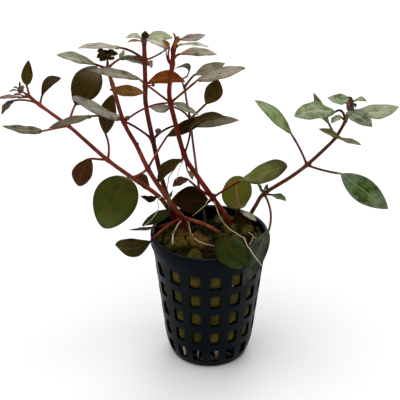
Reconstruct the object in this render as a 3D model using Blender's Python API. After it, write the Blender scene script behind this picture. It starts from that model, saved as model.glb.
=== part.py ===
"""Ludwigia repens in its net pot: seven stems rooted in a plug of rock wool.

Lengths are in millimetres until a mesh is made. The origin is the centre of the pot's
underside, +Z is up, +X is to the right and -Y is the side that faces the viewer.
"""

import math
from collections import namedtuple

import bmesh
import bpy
from mathutils import Vector
from mathutils.geometry import interpolate_bezier

MM = 0.001
GAP = 0.3

# Net pot: the wall is a cone that curves in to the foot
POT_HEIGHT = 60.5
RIM_RADIUS = 26.0
RIM_HEIGHT = 5.0
RIM_WIDTH = 1.7
NECK_RADIUS = 25.2
CONE_FOOT_RADIUS = 18.8
FOOT_RADIUS = 16.8
FOOT_CURVE_HEIGHT = 11.0
WALL = 1.2
COLUMNS = 16
FRONT_WINDOW_ANGLE = -83.3
WINDOW_ROWS = 5
WINDOW_HEIGHT = 6.5
WINDOW_PITCH = 10.15
LOWEST_SILL = 3.9
SLOT_RADII = (8.0, 13.5)

# Rock wool
WOOL_BOTTOM = 13.0
WOOL_EDGE_HEIGHT = 55.5
WOOL_HUMPS = ((-7.0, -7.0, 9.0, 4.5), (16.0, 5.0, 8.0, 3.5), (-18.0, -4.0, 8.0, 2.0), (0.0, 14.0, 12.0, 2.5))
SOCKET_CLEARANCE = 0.35

# Stems, thick at the foot and thin at the tip
STEM_SIDES = 6
NODE_SWELL = 1.3
NODE_HALF_LENGTH = 1.1
Stem = namedtuple("Stem", "foot_radius tip_radius points")
STEMS = {
    "a": Stem(1.05, 0.6, (
        (-13, 14, 50.5), (-14.5, 14, 56.5), (-22, 13, 70.5), (-34, 11, 81.3), (-44.5, 9, 91),
        (-54, 8, 101), (-60.5, 7, 108), (-72, 6, 118), (-76, 5.5, 122), (-79.5, 5, 125))),
    "b": Stem(1.1, 0.7, (
        (-9, 5.5, 51.5), (-10, 5, 58), (-12, 4, 65), (-19.5, 2, 77.5), (-26.5, 0, 91),
        (-31, -1.5, 102.5), (-36, -3, 114), (-40, -5, 131.5), (-41.5, -5.5, 138.5), (-41.5, -6, 144))),
    "c": Stem(1.0, 0.6, (
        (-10.5, 9.5, 47.5), (-13, 10, 54.5), (-20.5, 10, 79.5), (-24.5, 8, 101), (-27, 5, 118.5),
        (-27, 4, 127.5), (-27, 3.5, 139), (-27, 3, 147), (-26.5, 3, 151.5))),
    "d": Stem(1.1, 0.7, (
        (12, 8, 49.5), (10, 8, 56.5), (7, 8, 64.5), (1.5, 8, 73), (-6.5, 7, 86), (-11, 6, 95),
        (-15.5, 4, 114.5), (-16.5, 3.5, 120), (-17, 3, 126), (-15.5, 1, 138), (-15, 0.5, 144.5),
        (-14, 0, 150))),
    "e": Stem(0.6, 0.45, (
        (-1.5, 18, 50.5), (-2, 18, 57.5), (-4.5, 19, 72), (-7, 21, 91.5), (-8.5, 22, 104.8),
        (-10, 23, 113), (-11, 23.5, 119.2), (-12.5, 23.5, 122.7))),
    "f": Stem(1.0, 0.6, (
        (14, 14, 49.5), (16, 14, 56), (21, 13.5, 66.5), (24.5, 13, 72.5), (35.5, 10, 82),
        (42.5, 8, 89), (50, 6, 98), (54, 5, 103.5), (57.5, 3, 112), (59, 1.5, 118.5),
        (59.5, 1, 122))),
    "g": Stem(0.8, 0.6, (
        (9, 13.5, 48.5), (9.5, 13, 55.5), (11.5, 12.5, 60.5), (12.5, 12, 64.5))),
}

# Each leaf hangs on one stem at one of its points. A petiole has a length, a heading and a rise,
# a blade has a length, a width, a heading and a rise: headings run anticlockwise from +X, seen
# from above. Roll turns the blade about its midrib. Bow and sag are the offsets of the middle of the
# blade and of the petiole from a straight line. A shape has the place along the blade where it is
# widest and a power that is lower for a fuller, rounder blade.
STRAIGHT = (0, 0, 0)
USUAL_SHAPE = (0.48, 0.8)
Leaf = namedtuple(
    "Leaf", "stem point petiole blade roll colour bow sag shape", defaults=(STRAIGHT, STRAIGHT, USUAL_SHAPE)
)
LEAVES = {
    "leaf_a1": Leaf("a", 8, (5, 122, 63), (10.5, 5.5, 73, 70), 0, "olive", shape=(0.38, 0.8)),
    "leaf_a2": Leaf("a", 7, (3.5, 64, 59), (11, 5, 30, 35), -20, "dark", bow=(-0.5, 0, 3.5)),
    "leaf_a3": Leaf("a", 8, (4, 202, 3), (9.5, 5, 198, 4), 0, "silver", bow=(0, 0, 0.5)),
    "leaf_a4": Leaf("a", 7, (11, 196, 17), (8, 3.5, 217, -37), 0, "olive", bow=(-0.5, 0, 1), sag=(0.5, 0, 1)),
    "leaf_a5": Leaf("a", 6, (11.5, 195, -6), (17, 5.5, 194, 14), 20, "silver",
        bow=(0, 0, -0.5), shape=(0.38, 0.7)),
    "leaf_a6": Leaf("a", 6, (9.5, 60, 53), (19, 15.5, 38, 52), -20, "dark",
        sag=(0, 0, 1), shape=(0.54, 0.65)),
    "leaf_a7": Leaf("a", 4, (11.5, 103, 75), (17.5, 9.5, 57, 70), 0, "olive",
        bow=(-0.5, 0, 0), sag=(1, 0, 0)),
    "leaf_a8": Leaf("a", 4, (8.5, 209, 17), (13, 11, 236, -50), 0, "maroon",
        bow=(-1, 0, 0), shape=(0.52, 0.65)),
    "leaf_b1": Leaf("b", 8, (7, 213, 28), (16.5, 7, 203, 21), 22, "silver", bow=(0, 0, 0.5)),
    "leaf_b2": Leaf("b", 8, (9, 59, 10), (17.5, 6, 37, -22), -30, "dark",
        bow=(-0.5, 0, 0.5), sag=(0, 0, 0.5)),
    "leaf_b3": Leaf("b", 6, (5.5, 113, -8), (28.5, 13, 222, 33), 20, "silver",
        bow=(-0.5, 0, 0.5), shape=(0.5, 0.65)),
    "leaf_b4": Leaf("b", 6, (23.5, 31, 9), (13.5, 5, 15, -30), -25, "silver",
        bow=(0, 0, 0.5), sag=(0, 0, 2.5)),
    "leaf_b5": Leaf("b", 4, (16.5, 45, 45), (18.5, 6.5, 7, 25), -35, "dark", sag=(0, 0, 0.5)),
    "leaf_b6": Leaf("b", 4, (10.5, 215, -7), (24, 19, 218, -57), 50, "green",
        bow=(-0.5, 0, 0.5), sag=(0, 0, -1), shape=(0.44, 0.55)),
    "leaf_b7": Leaf("b", 2, (11.5, 196, -14), (13, 4.5, 198, 3), -8, "dark", bow=(0, 0, -0.5), sag=(1, 0, 0)),
    "leaf_b8": Leaf("b", 2, (5.5, 166, 40), (15.5, 7.5, 200, -20), 10, "green"),
    "leaf_b9": Leaf("b", 2, (20.5, 228, -10), (16.5, 10, 206, 8), 30, "olive",
        bow=(-0.5, 0, -2.5), sag=(-0.5, 0, 1), shape=(0.54, 0.7)),
    "leaf_b10": Leaf("b", 2, (26.5, 311, 5), (18.5, 15.5, 296, -26), 0, "green",
        bow=(0.5, 0, 0.5), sag=(1, 0, 1), shape=(0.5, 0.6)),
    "leaf_c1": Leaf("c", 7, (2, 309, 48), (10.5, 5, 337, -16), -10, "silver", bow=(0.5, 0, 1)),
    "leaf_c2": Leaf("c", 7, (3, 71, 12), (11.5, 4, 21, -6), -30, "silver", bow=(0, 0, 1)),
    "leaf_c3": Leaf("c", 6, (12.5, 199, 32), (18, 8.5, 206, 8), 0, "silver", bow=(0, 0, 0.5), sag=(0, 0, 1)),
    "leaf_c4": Leaf("c", 5, (3, 240, -68), (15, 6, 196, 12), -75, "maroon"),
    "leaf_c5": Leaf("c", 5, (1.5, 42, 29), (16, 7.5, 11, -2), 70, "maroon", bow=(0, 0, 2.5)),
    "leaf_c6": Leaf("c", 3, (29, 191, 27), (19, 8.5, 199, -9), 0, "olive", sag=(0, 0, 3.5)),
    "leaf_c7": Leaf("c", 3, (13, 30, 20), (27.5, 6.5, 11, 0), -40, "dark", bow=(0, 0, 0.5), sag=(-0.5, 0, 1)),
    "leaf_d1": Leaf("d", 11, (2.5, 30, -30), (11.5, 5, 26, 2), -20, "silver", bow=(0, 0, -0.5)),
    "leaf_d2": Leaf("d", 10, (4, 327, 44), (13, 4.5, 337, 3), 0, "silver", bow=(0, 0, 0.5)),
    "leaf_d3": Leaf("d", 9, (5.5, 29, 45), (16, 5, 18, -7), -20, "silver", bow=(0, 0, 1), sag=(-0.5, 0, 1)),
    "leaf_d4": Leaf("d", 7, (22, 220, 42), (22, 6, 205, 18), 25, "silver",
        bow=(0.5, 0, 0.5), shape=(0.48, 0.65)),
    "leaf_d5": Leaf("d", 7, (18, 331, 44), (22, 7.5, 340, 21), -25, "silver", shape=(0.48, 0.65)),
    "leaf_d6": Leaf("d", 5, (18.5, 290, 62), (15.5, 6, 352, 21), -20, "olive",
        bow=(-0.5, 0, 2), sag=(0.5, 0, 0)),
    "leaf_d7": Leaf("d", 5, (3.5, 254, -18), (14.5, 9.5, 210, -35), 0, "dark", bow=(-0.5, 0, 1)),
    "leaf_d8": Leaf("d", 3, (5, 118, -47), (17, 13, 187, 7), 50, "dark", bow=(0.5, 0, 0.5)),
    "leaf_d9": Leaf("d", 3, (17.5, 343, 38), (22.5, 12.5, 336, 27), -30, "green",
        bow=(0.5, 0, 0.5), sag=(0, 0, 0.5), shape=(0.54, 0.6)),
    "leaf_e1": Leaf("e", 7, (5.5, 308, 33), (6.5, 2, 160, 23), 30, "silver", bow=(3, 0, 3)),
    "leaf_e2": Leaf("e", 6, (8, 342, 53), (14.5, 7.5, 21, 14), -20, "silver",
        bow=(-0.5, 0, -0.5), sag=(0.5, 0, 1), shape=(0.54, 0.8)),
    "leaf_e3": Leaf("e", 4, (12.5, 212, 40), (9.5, 6, 192, 3), 20, "silver", bow=(0, 0, -1), sag=(0.5, 0, 1)),
    "leaf_e4": Leaf("e", 4, (10, 0, 46), (12, 9, 36, 56), -20, "olive", bow=(1, 0, 0)),
    "leaf_f1": Leaf("f", 3, (24, 272, -17), (27, 8, 241, -33), 30, "dark",
        bow=(-0.5, -1.5, 1.3), sag=(2, 0, 0), shape=(0.45, 0.65)),
    "leaf_f2": Leaf("f", 5, (16, 165, 62), (23, 7.5, 187, 45), 40, "green",
        bow=(0.5, 0, 0.5), sag=(0.5, 0, 0)),
    "leaf_f3": Leaf("f", 5, (17, 324, 2), (25, 11, 333, -28), -50, "green", sag=(0, 0, -0.5)),
    "leaf_f4": Leaf("f", 7, (3.5, 289, 18), (10.5, 5, 325, -3), 0, "silver"),
    "leaf_f5": Leaf("f", 7, (7, 126, 45), (14.5, 6.5, 143, 56), 0, "olive", bow=(-0.5, 0, -0.5)),
    "leaf_f6": Leaf("f", 8, (6, 169, 36), (18.5, 9.5, 199, 2), 30, "green",
        bow=(0, 0, 1.5), sag=(0.5, 0, 2.5), shape=(0.5, 0.65)),
    "leaf_f7": Leaf("f", 8, (5.5, 293, 53), (11.5, 6, 314, -12), -20, "green", bow=(0, 0, 1)),
    "leaf_f8": Leaf("f", 9, (3, 11, -35), (18.5, 8, 6, 4), -30, "silver", bow=(0.5, 0, -1.5)),
    "leaf_f9": Leaf("f", 10, (3, 100, -13), (9, 5.5, 174, 2), 25, "silver", bow=(0.5, 0, -0.5)),
    "leaf_g1": Leaf("g", 3, (2.5, 305, 46), (15, 17, 126, 73), 0, "green", shape=(0.5, 0.5)),
}
PETIOLE_RADIUS = 0.5
PETIOLE_STEPS = (0.0, 0.35, 0.7)
BLADE_STEPS = (0.0, 0.08, 0.2, 0.35, 0.5, 0.65, 0.8, 0.92, 1.0)
BLADE_THICKNESS = 0.8
BLADE_FOLD = 12.0
TIP_HALF_WIDTH = 0.2

# Roots grow out of a stem at one of its points and follow a route
ROOT_RADIUS = 0.3
ROOT_SIDES = 5
ROOTS = {
    "root_d": ("d", 3, ((3, 5.5, 69.6), (5, 4.5, 64.5), (8, 5, 60), (11, 1.5, 59.5), (14.5, -2, 59))),
    "root_b": ("b", 2, (
        (-9.2, 2, 63.8), (-8.5, 0, 60.5), (-6.5, -8.5, 61.5), (-2.5, -11.5, 60.7), (2.5, -11, 59))),
    "root_b_left": ("b", 3, ((-22.5, 1, 75.5), (-22.3, 0, 72), (-25, -1.5, 67.5), (-29.7, -3, 63.8))),
}

COLOURS = {
    "pot": ((0.012, 0.016, 0.025), 0.35),
    "wool": ((0.24, 0.17, 0.06), 0.95),
    "stem": ((0.22, 0.045, 0.035), 0.45),
    "root": ((0.72, 0.66, 0.5), 0.6),
    "green": ((0.09, 0.16, 0.04), 0.4),
    "olive": ((0.085, 0.08, 0.035), 0.4),
    "dark": ((0.035, 0.04, 0.025), 0.4),
    "maroon": ((0.16, 0.045, 0.025), 0.4),
    "silver": ((0.22, 0.23, 0.17), 0.4),
}


def clear_scene():
    for obj in list(bpy.data.objects):
        bpy.data.objects.remove(obj, do_unlink=True)


def material(colour):
    """One Principled material for each named colour."""
    found = bpy.data.materials.get(colour)
    if found:
        return found
    base, roughness = COLOURS[colour]
    made = bpy.data.materials.new(colour)
    made.use_nodes = True
    shader = made.node_tree.nodes["Principled BSDF"]
    shader.inputs["Base Color"].default_value = (*base, 1.0)
    shader.inputs["Roughness"].default_value = roughness
    return made


def add_object(name, points, faces, colour, origin=(0, 0, 0), parent=None):
    """A smooth-shaded object from points in millimetres, with its origin at the given place."""
    origin = Vector(origin)
    bm = bmesh.new()
    corners = [bm.verts.new((Vector(p) - origin) * MM) for p in points]
    for face in faces:
        bm.faces.new([corners[i] for i in face])
    bmesh.ops.recalc_face_normals(bm, faces=bm.faces)
    mesh = bpy.data.meshes.new(name)
    bm.to_mesh(mesh)
    bm.free()
    mesh.shade_smooth()
    mesh.set_sharp_from_angle(angle=math.radians(40))
    mesh.materials.append(material(colour))
    obj = bpy.data.objects.new(name, mesh)
    bpy.context.collection.objects.link(obj)
    obj.parent = parent
    obj.location = origin * MM
    return obj


def loft(rings):
    """Points and faces of a closed body through rings that all have the same number of points."""
    sides = len(rings[0])
    points = [p for ring in rings for p in ring]
    faces = [tuple(range(sides))]
    for k in range(len(rings) - 1):
        for i in range(sides):
            j = (i + 1) % sides
            faces.append((k * sides + i, k * sides + j, (k + 1) * sides + j, (k + 1) * sides + i))
    last = (len(rings) - 1) * sides
    faces.append(tuple(last + i for i in reversed(range(sides))))
    return points, faces


def turned(radius, height):
    """One ring of the pot or the plug, a point at each side of every window."""
    step = math.pi / COLUMNS
    first = math.radians(FRONT_WINDOW_ANGLE) - step / 2
    return [
        (radius * math.cos(first + i * step), radius * math.sin(first + i * step), height)
        for i in range(2 * COLUMNS)
    ]


def wall_radius(height):
    """The outside of the wall at a height."""
    cone = CONE_FOOT_RADIUS + (NECK_RADIUS - CONE_FOOT_RADIUS) * height / (POT_HEIGHT - RIM_HEIGHT)
    curve = max(0.0, 1 - height / FOOT_CURVE_HEIGHT) ** 2
    return cone - (CONE_FOOT_RADIUS - FOOT_RADIUS) * curve


def add_net_pot():
    """A tapered bucket: rings run up the outside, over the rim, down the inside and across the floor."""
    sills = [LOWEST_SILL + row * WINDOW_PITCH for row in range(WINDOW_ROWS)]
    levels = [height for sill in sills for height in (sill, sill + WINDOW_HEIGHT)]
    neck = POT_HEIGHT - RIM_HEIGHT
    inner_slot, outer_slot = SLOT_RADII
    profile = [(outer_slot, 0.0), (FOOT_RADIUS, 0.0)]
    profile += [(wall_radius(z), z) for z in levels]
    profile += [(NECK_RADIUS, neck), (RIM_RADIUS, neck), (RIM_RADIUS, POT_HEIGHT)]
    profile += [(RIM_RADIUS - RIM_WIDTH, POT_HEIGHT)]
    profile += [(wall_radius(z) - WALL, z) for z in reversed(levels)]
    profile += [(wall_radius(WALL) - WALL, WALL), (outer_slot, WALL), (inner_slot, WALL)]
    profile += [(inner_slot, 0.0)]
    count = 2 * COLUMNS
    points = [p for radius, height in profile for p in turned(radius, height)]
    last = len(profile) - 1
    openings = [(2 + 2 * row, 3 + 2 * row) for row in range(WINDOW_ROWS)]
    openings.append((0, last))
    partner = {2 + k: last - 4 - k for k in range(len(levels))}
    partner.update({0: last - 2, last: last - 1})
    holes = {frozenset(pair) for pair in openings}
    holes |= {frozenset((partner[a], partner[b])) for a, b in openings}
    faces = []
    for a in [last, *range(last - 1)]:
        b = (a + 1) % len(profile)
        for i in range(count):
            if frozenset((a, b)) in holes and i % 2 == 0:
                continue
            j = (i + 1) % count
            faces.append((a * count + i, a * count + j, b * count + j, b * count + i))
    for a, b in openings:
        for i in range(0, count, 2):
            near = [a * count + i, a * count + i + 1, b * count + i + 1, b * count + i]
            far = [partner[a] * count + i, partner[a] * count + i + 1]
            far += [partner[b] * count + i + 1, partner[b] * count + i]
            faces += [(near[k], near[k - 1], far[k - 1], far[k]) for k in range(4)]
    faces += [tuple(ring * count + i for i in range(count)) for ring in (last - 1, last)]
    return add_object("net_pot", points, faces, "pot")


def wool_height(x, y):
    """The plug's top: level at the edge, with low humps."""
    height = WOOL_EDGE_HEIGHT
    for hump_x, hump_y, spread, rise in WOOL_HUMPS:
        height += rise * math.exp(-((x - hump_x) ** 2 + (y - hump_y) ** 2) / spread**2)
    return height


def add_rock_wool(cutters):
    """A tapered plug that stops short of the pot's floor, with a socket for each stem."""
    sides = [WOOL_BOTTOM, 22.0, 38.0, WOOL_EDGE_HEIGHT - 2.0]
    rings = [turned(wall_radius(z) - WALL - GAP, z) for z in sides]
    edge = wall_radius(WOOL_EDGE_HEIGHT) - WALL - GAP
    for share in (0.96, 0.75, 0.5, 0.25):
        rings.append([(x, y, wool_height(x, y)) for x, y, z in turned(edge * share, 0.0)])
    points, faces = loft(rings)
    wool = add_object("rock_wool", points, faces, "wool")
    for cutter in cutters:
        cut = wool.modifiers.new(cutter.name, "BOOLEAN")
        cut.operation = "DIFFERENCE"
        cut.solver = "EXACT"
        cut.object = cutter
    return wool


def stem_curve(points, steps=1):
    """Points on a smooth curve through the stem's own points, with their place along it."""
    points = [Vector(p) for p in points]
    ends = [2 * points[0] - points[1], *points, 2 * points[-1] - points[-2]]
    for k in range(len(points) - 1):
        before, here, there, after = ends[k : k + 4]
        out = here + (there - before) / 6
        back = there - (after - here) / 6
        for i, p in enumerate(interpolate_bezier(here, out, back, there, steps + 1)[:-1]):
            yield k + i / steps, p
    yield len(points) - 1, points[-1]


def tube(path, radii, sides):
    """Rings of a round tube that doesn't twist on its way along the path."""
    rings = []
    side = None
    for k, here in enumerate(path):
        ahead = (path[min(k + 1, len(path) - 1)] - path[max(k - 1, 0)]).normalized()
        if side is None:
            side = ahead.orthogonal()
        side = (side - ahead * side.dot(ahead)).normalized()
        up = ahead.cross(side)
        ring = []
        for i in range(sides):
            turn = 2 * math.pi * i / sides
            ring.append(here + radii[k] * (side * math.cos(turn) + up * math.sin(turn)))
        rings.append(ring)
    return rings


def stem_radius(stem, place):
    share = place / (len(stem.points) - 1)
    return stem.foot_radius + (stem.tip_radius - stem.foot_radius) * share


def add_stem(letter):
    """A tube that swells where leaves are attached."""
    stem = STEMS[letter]
    nodes = {leaf.point for leaf in LEAVES.values() if leaf.stem == letter}
    path = []
    radii = []
    curve = list(stem_curve(stem.points, steps=2))
    for k, (place, here) in enumerate(curve):
        radius = stem_radius(stem, place)
        if place not in nodes:
            path.append(here)
            radii.append(radius)
            continue
        before = (here - curve[k - 1][1]).normalized() * NODE_HALF_LENGTH
        path += [here - before, here]
        radii += [radius, radius * NODE_SWELL]
        if k + 1 < len(curve):
            path.append(here + (curve[k + 1][1] - here).normalized() * NODE_HALF_LENGTH)
            radii.append(radius)
    points, faces = loft(tube(path, radii, STEM_SIDES))
    return add_object(f"stem_{letter}", points, faces, "stem")


def add_socket_cutter(letter):
    """A wider tube around the stem's foot, which makes its socket in the rock wool."""
    stem = STEMS[letter]
    foot, surface = (Vector(p) for p in stem.points[:2])
    along = (surface - foot).normalized()
    path = [foot - along * GAP, foot, surface, Vector(stem.points[2])]
    radius = stem.foot_radius + SOCKET_CLEARANCE
    points, faces = loft(tube(path, [radius] * len(path), STEM_SIDES))
    cutter = add_object(f"socket_{letter}", points, faces, "wool")
    cutter.hide_render = True
    cutter.display_type = "WIRE"
    return cutter


def direction(heading, rise):
    heading = math.radians(heading)
    rise = math.radians(rise)
    return Vector((math.cos(heading) * math.cos(rise), math.sin(heading) * math.cos(rise), math.sin(rise)))


def across(heading, roll, along):
    """The way to the blade's right-hand side, as seen from the stem."""
    heading = math.radians(heading)
    side = Vector((math.sin(heading), -math.cos(heading), 0))
    turn = math.radians(roll)
    return side * math.cos(turn) + side.cross(along) * math.sin(turn)


def petiole_start(leaf):
    """Where the petiole begins: as close to the stem's skin as the gap allows."""
    stem = STEMS[leaf.stem]
    here = Vector(stem.points[leaf.point])
    before = Vector(stem.points[leaf.point - 1])
    along = (here - before).normalized()
    out = direction(*leaf.petiole[1:])
    lean = out.dot(along)
    if leaf.point == len(stem.points) - 1 and lean > 0.7:
        return here, here + out * (GAP + PETIOLE_RADIUS)
    skin = stem_radius(stem, leaf.point) * NODE_SWELL
    reach = (skin + PETIOLE_RADIUS * abs(lean) + GAP) / math.sqrt(1 - lean**2)
    return here, here + out * reach


def bent(start, control, end, share):
    """A point on a quadratic curve and the way that the curve runs there."""
    here = start * (1 - share) ** 2 + control * 2 * share * (1 - share) + end * share**2
    ahead = (control - start) * (1 - share) + (end - control) * share
    return here, ahead.normalized()


def blade_half_width(leaf, share):
    """Broad in the middle, narrowing into the petiole and to a pointed tip."""
    widest, fullness = leaf.shape
    power = math.log(0.5) / math.log(widest)
    full = math.sin(math.pi * min(share, 0.999) ** power) ** fullness
    return max(leaf.blade[1] / 2 * full, PETIOLE_RADIUS * (1 - share), TIP_HALF_WIDTH)


def add_leaf(name, parent):
    """A petiole and a folded, bowed blade as one body, in rings of four points."""
    leaf = LEAVES[name]
    node, start = petiole_start(leaf)
    stalk, stalk_heading, stalk_rise = leaf.petiole
    length, _, heading, rise = leaf.blade
    base = node + direction(stalk_heading, stalk_rise) * stalk
    tip = base + direction(heading, rise) * length
    side = across(heading, leaf.roll, direction(heading, rise))
    rings = []
    for share in PETIOLE_STEPS:
        here, ahead = bent(start, (start + base) / 2 + 2 * Vector(leaf.sag), base, share)
        right = (side - ahead * side.dot(ahead)).normalized() * PETIOLE_RADIUS
        top = right.cross(ahead)
        rings.append([here + right, here + top, here - right, here - top])
    fold = math.radians(BLADE_FOLD)
    for share in BLADE_STEPS:
        here, ahead = bent(base, (base + tip) / 2 + 2 * Vector(leaf.bow), tip, share)
        top = side.cross(ahead).normalized()
        half = blade_half_width(leaf, share)
        lift = top * half * math.sin(fold)
        reach = side * half * math.cos(fold)
        thick = top * (BLADE_THICKNESS / 2) * min(1.0, 1.3 - share)
        rings.append([here + reach + lift, here + thick, here - reach + lift, here - thick])
    points, faces = loft(rings)
    return add_object(name, points, faces, leaf.colour, origin=node, parent=parent)


def add_root(name, parent):
    """A thin root that starts at the stem's skin."""
    letter, point, route = ROOTS[name]
    node = Vector(STEMS[letter].points[point])
    route = [Vector(p) for p in route]
    skin = stem_radius(STEMS[letter], point) * NODE_SWELL
    route.insert(0, node + (route[0] - node).normalized() * (skin + ROOT_RADIUS + GAP))
    path = [p for _, p in stem_curve(route, steps=2)]
    points, faces = loft(tube(path, [ROOT_RADIUS] * len(path), ROOT_SIDES))
    return add_object(name, points, faces, "root", parent=parent)


def main():
    clear_scene()
    add_net_pot()
    stems = {letter: add_stem(letter) for letter in STEMS}
    add_rock_wool([add_socket_cutter(letter) for letter in STEMS])
    for name in LEAVES:
        add_leaf(name, stems[LEAVES[name].stem])
    for name in ROOTS:
        add_root(name, stems[ROOTS[name][0]])


main()
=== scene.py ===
"""The looks of the ludwigia repens in its net pot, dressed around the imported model.

Lengths are in millimetres until a mesh is made. The origin is the centre of the pot's
underside, +Z is up, +X is to the right and -Y is the side that faces the viewer.
"""

import math
import random
from collections import namedtuple

import bmesh
import bpy
from mathutils import Matrix, Vector, noise
from mathutils.geometry import interpolate_bezier


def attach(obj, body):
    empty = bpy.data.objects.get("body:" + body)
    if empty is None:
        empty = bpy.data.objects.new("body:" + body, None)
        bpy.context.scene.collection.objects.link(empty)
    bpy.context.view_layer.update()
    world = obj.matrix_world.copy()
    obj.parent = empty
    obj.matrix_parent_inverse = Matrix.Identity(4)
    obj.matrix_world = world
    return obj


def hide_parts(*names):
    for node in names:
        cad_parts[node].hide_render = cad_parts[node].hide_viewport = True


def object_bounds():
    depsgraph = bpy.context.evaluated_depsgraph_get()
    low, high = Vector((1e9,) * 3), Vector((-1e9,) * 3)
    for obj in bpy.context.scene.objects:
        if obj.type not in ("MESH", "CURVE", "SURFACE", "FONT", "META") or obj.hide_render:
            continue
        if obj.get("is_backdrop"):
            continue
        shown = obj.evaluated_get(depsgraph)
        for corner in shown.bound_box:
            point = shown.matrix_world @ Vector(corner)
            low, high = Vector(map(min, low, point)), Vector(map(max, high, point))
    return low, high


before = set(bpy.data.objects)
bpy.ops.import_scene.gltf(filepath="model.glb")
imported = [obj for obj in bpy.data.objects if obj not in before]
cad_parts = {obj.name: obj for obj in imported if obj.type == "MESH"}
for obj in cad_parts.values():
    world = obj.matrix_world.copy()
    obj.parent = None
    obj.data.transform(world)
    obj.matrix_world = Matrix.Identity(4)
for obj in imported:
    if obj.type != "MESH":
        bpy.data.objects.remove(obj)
CAD_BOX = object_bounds()
MM = 0.001

# Camera at the photograph's angle, for a picture of 400 by 400 pixels
IMAGE_SIZE = 400
FOCAL_PIXELS = 1148.35
SENSOR = 36.0
CAMERA_ELEVATION = 26.83
CAMERA_DISTANCE = 500.0
LOOK_AT = (-4.135, 0.0, 75.953)

# Net pot: the wall is a cone that curves in to the foot
POT_HEIGHT = 60.5
RIM_RADIUS = 26.0
RIM_HEIGHT = 5.0
RIM_WIDTH = 1.7
NECK_RADIUS = 25.2
CONE_FOOT_RADIUS = 18.8
FOOT_RADIUS = 16.8
FOOT_CURVE_HEIGHT = 11.0
WALL = 1.2
COLUMNS = 16
FRONT_WINDOW_ANGLE = -83.3
WINDOW_ROWS = 5
WINDOW_HEIGHT = 6.5
WINDOW_PITCH = 10.15
LOWEST_SILL = 3.9
SLOT_RADII = (8.0, 13.5)

# Rock wool
WOOL_BOTTOM = 13.0
WOOL_EDGE_HEIGHT = 55.5
SIDE_TOP = WOOL_EDGE_HEIGHT - 1.5
WOOL_GAP = 0.3

# Stems, thick at the foot and thin at the tip
Stem = namedtuple("Stem", "foot_radius tip_radius points")
STEMS = {
    "a": Stem(1.15, 0.6, (
        (-13, 14, 50.5), (-14.5, 14, 56.5), (-22, 13, 70.5), (-34, 11, 81.3), (-44.5, 9, 91),
        (-54, 8, 101), (-60.5, 7, 108), (-72, 6, 118), (-76, 5.5, 122), (-79.5, 5, 125))),
    "b": Stem(1.25, 0.7, (
        (-9, 5.5, 51.5), (-10, 5, 58), (-12, 4, 65), (-19.5, 2, 77.5), (-26.5, 0, 91),
        (-31, -1.5, 102.5), (-36, -3, 114), (-40, -5, 131.5), (-41.5, -5.5, 138.5), (-41.5, -6, 144))),
    "c": Stem(1.15, 0.85, (
        (-10.5, 9.5, 47.5), (-13, 10, 54.5), (-20.5, 10, 79.5), (-24.5, 8, 101), (-27, 5, 118.5),
        (-27, 4, 127.5), (-27, 3.5, 139), (-27, 3, 147), (-26.5, 3, 151.5))),
    "d": Stem(1.2, 0.9, (
        (12, 8, 49.5), (10, 8, 56.5), (7, 8, 64.5), (1.5, 8, 73), (-6.5, 7, 86), (-11, 6, 95),
        (-15.5, 4, 114.5), (-16.5, 3.5, 120), (-17, 3, 126), (-15.5, 1, 138), (-15, 0.5, 144.5),
        (-14, 0, 150))),
    "e": Stem(0.6, 0.45, (
        (-1.5, 18, 50.5), (-2, 18, 57.5), (-4.5, 19, 72), (-7, 21, 91.5), (-8.5, 22, 104.8),
        (-10, 23, 113), (-11, 23.5, 119.2), (-12.5, 23.5, 122.7))),
    "f": Stem(1.0, 0.6, (
        (14, 14, 49.5), (16, 14, 56), (21, 13.5, 66.5), (24.5, 13, 72.5), (35.5, 10, 82),
        (42.5, 8, 89), (50, 6, 98), (54, 5, 103.5), (57.5, 3, 112), (59, 1.5, 118.5),
        (59.5, 1, 122))),
    "g": Stem(0.8, 0.6, (
        (9, 13.5, 48.5), (9.5, 13, 55.5), (11.5, 12.5, 60.5), (12.5, 12, 64.5))),
}

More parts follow.
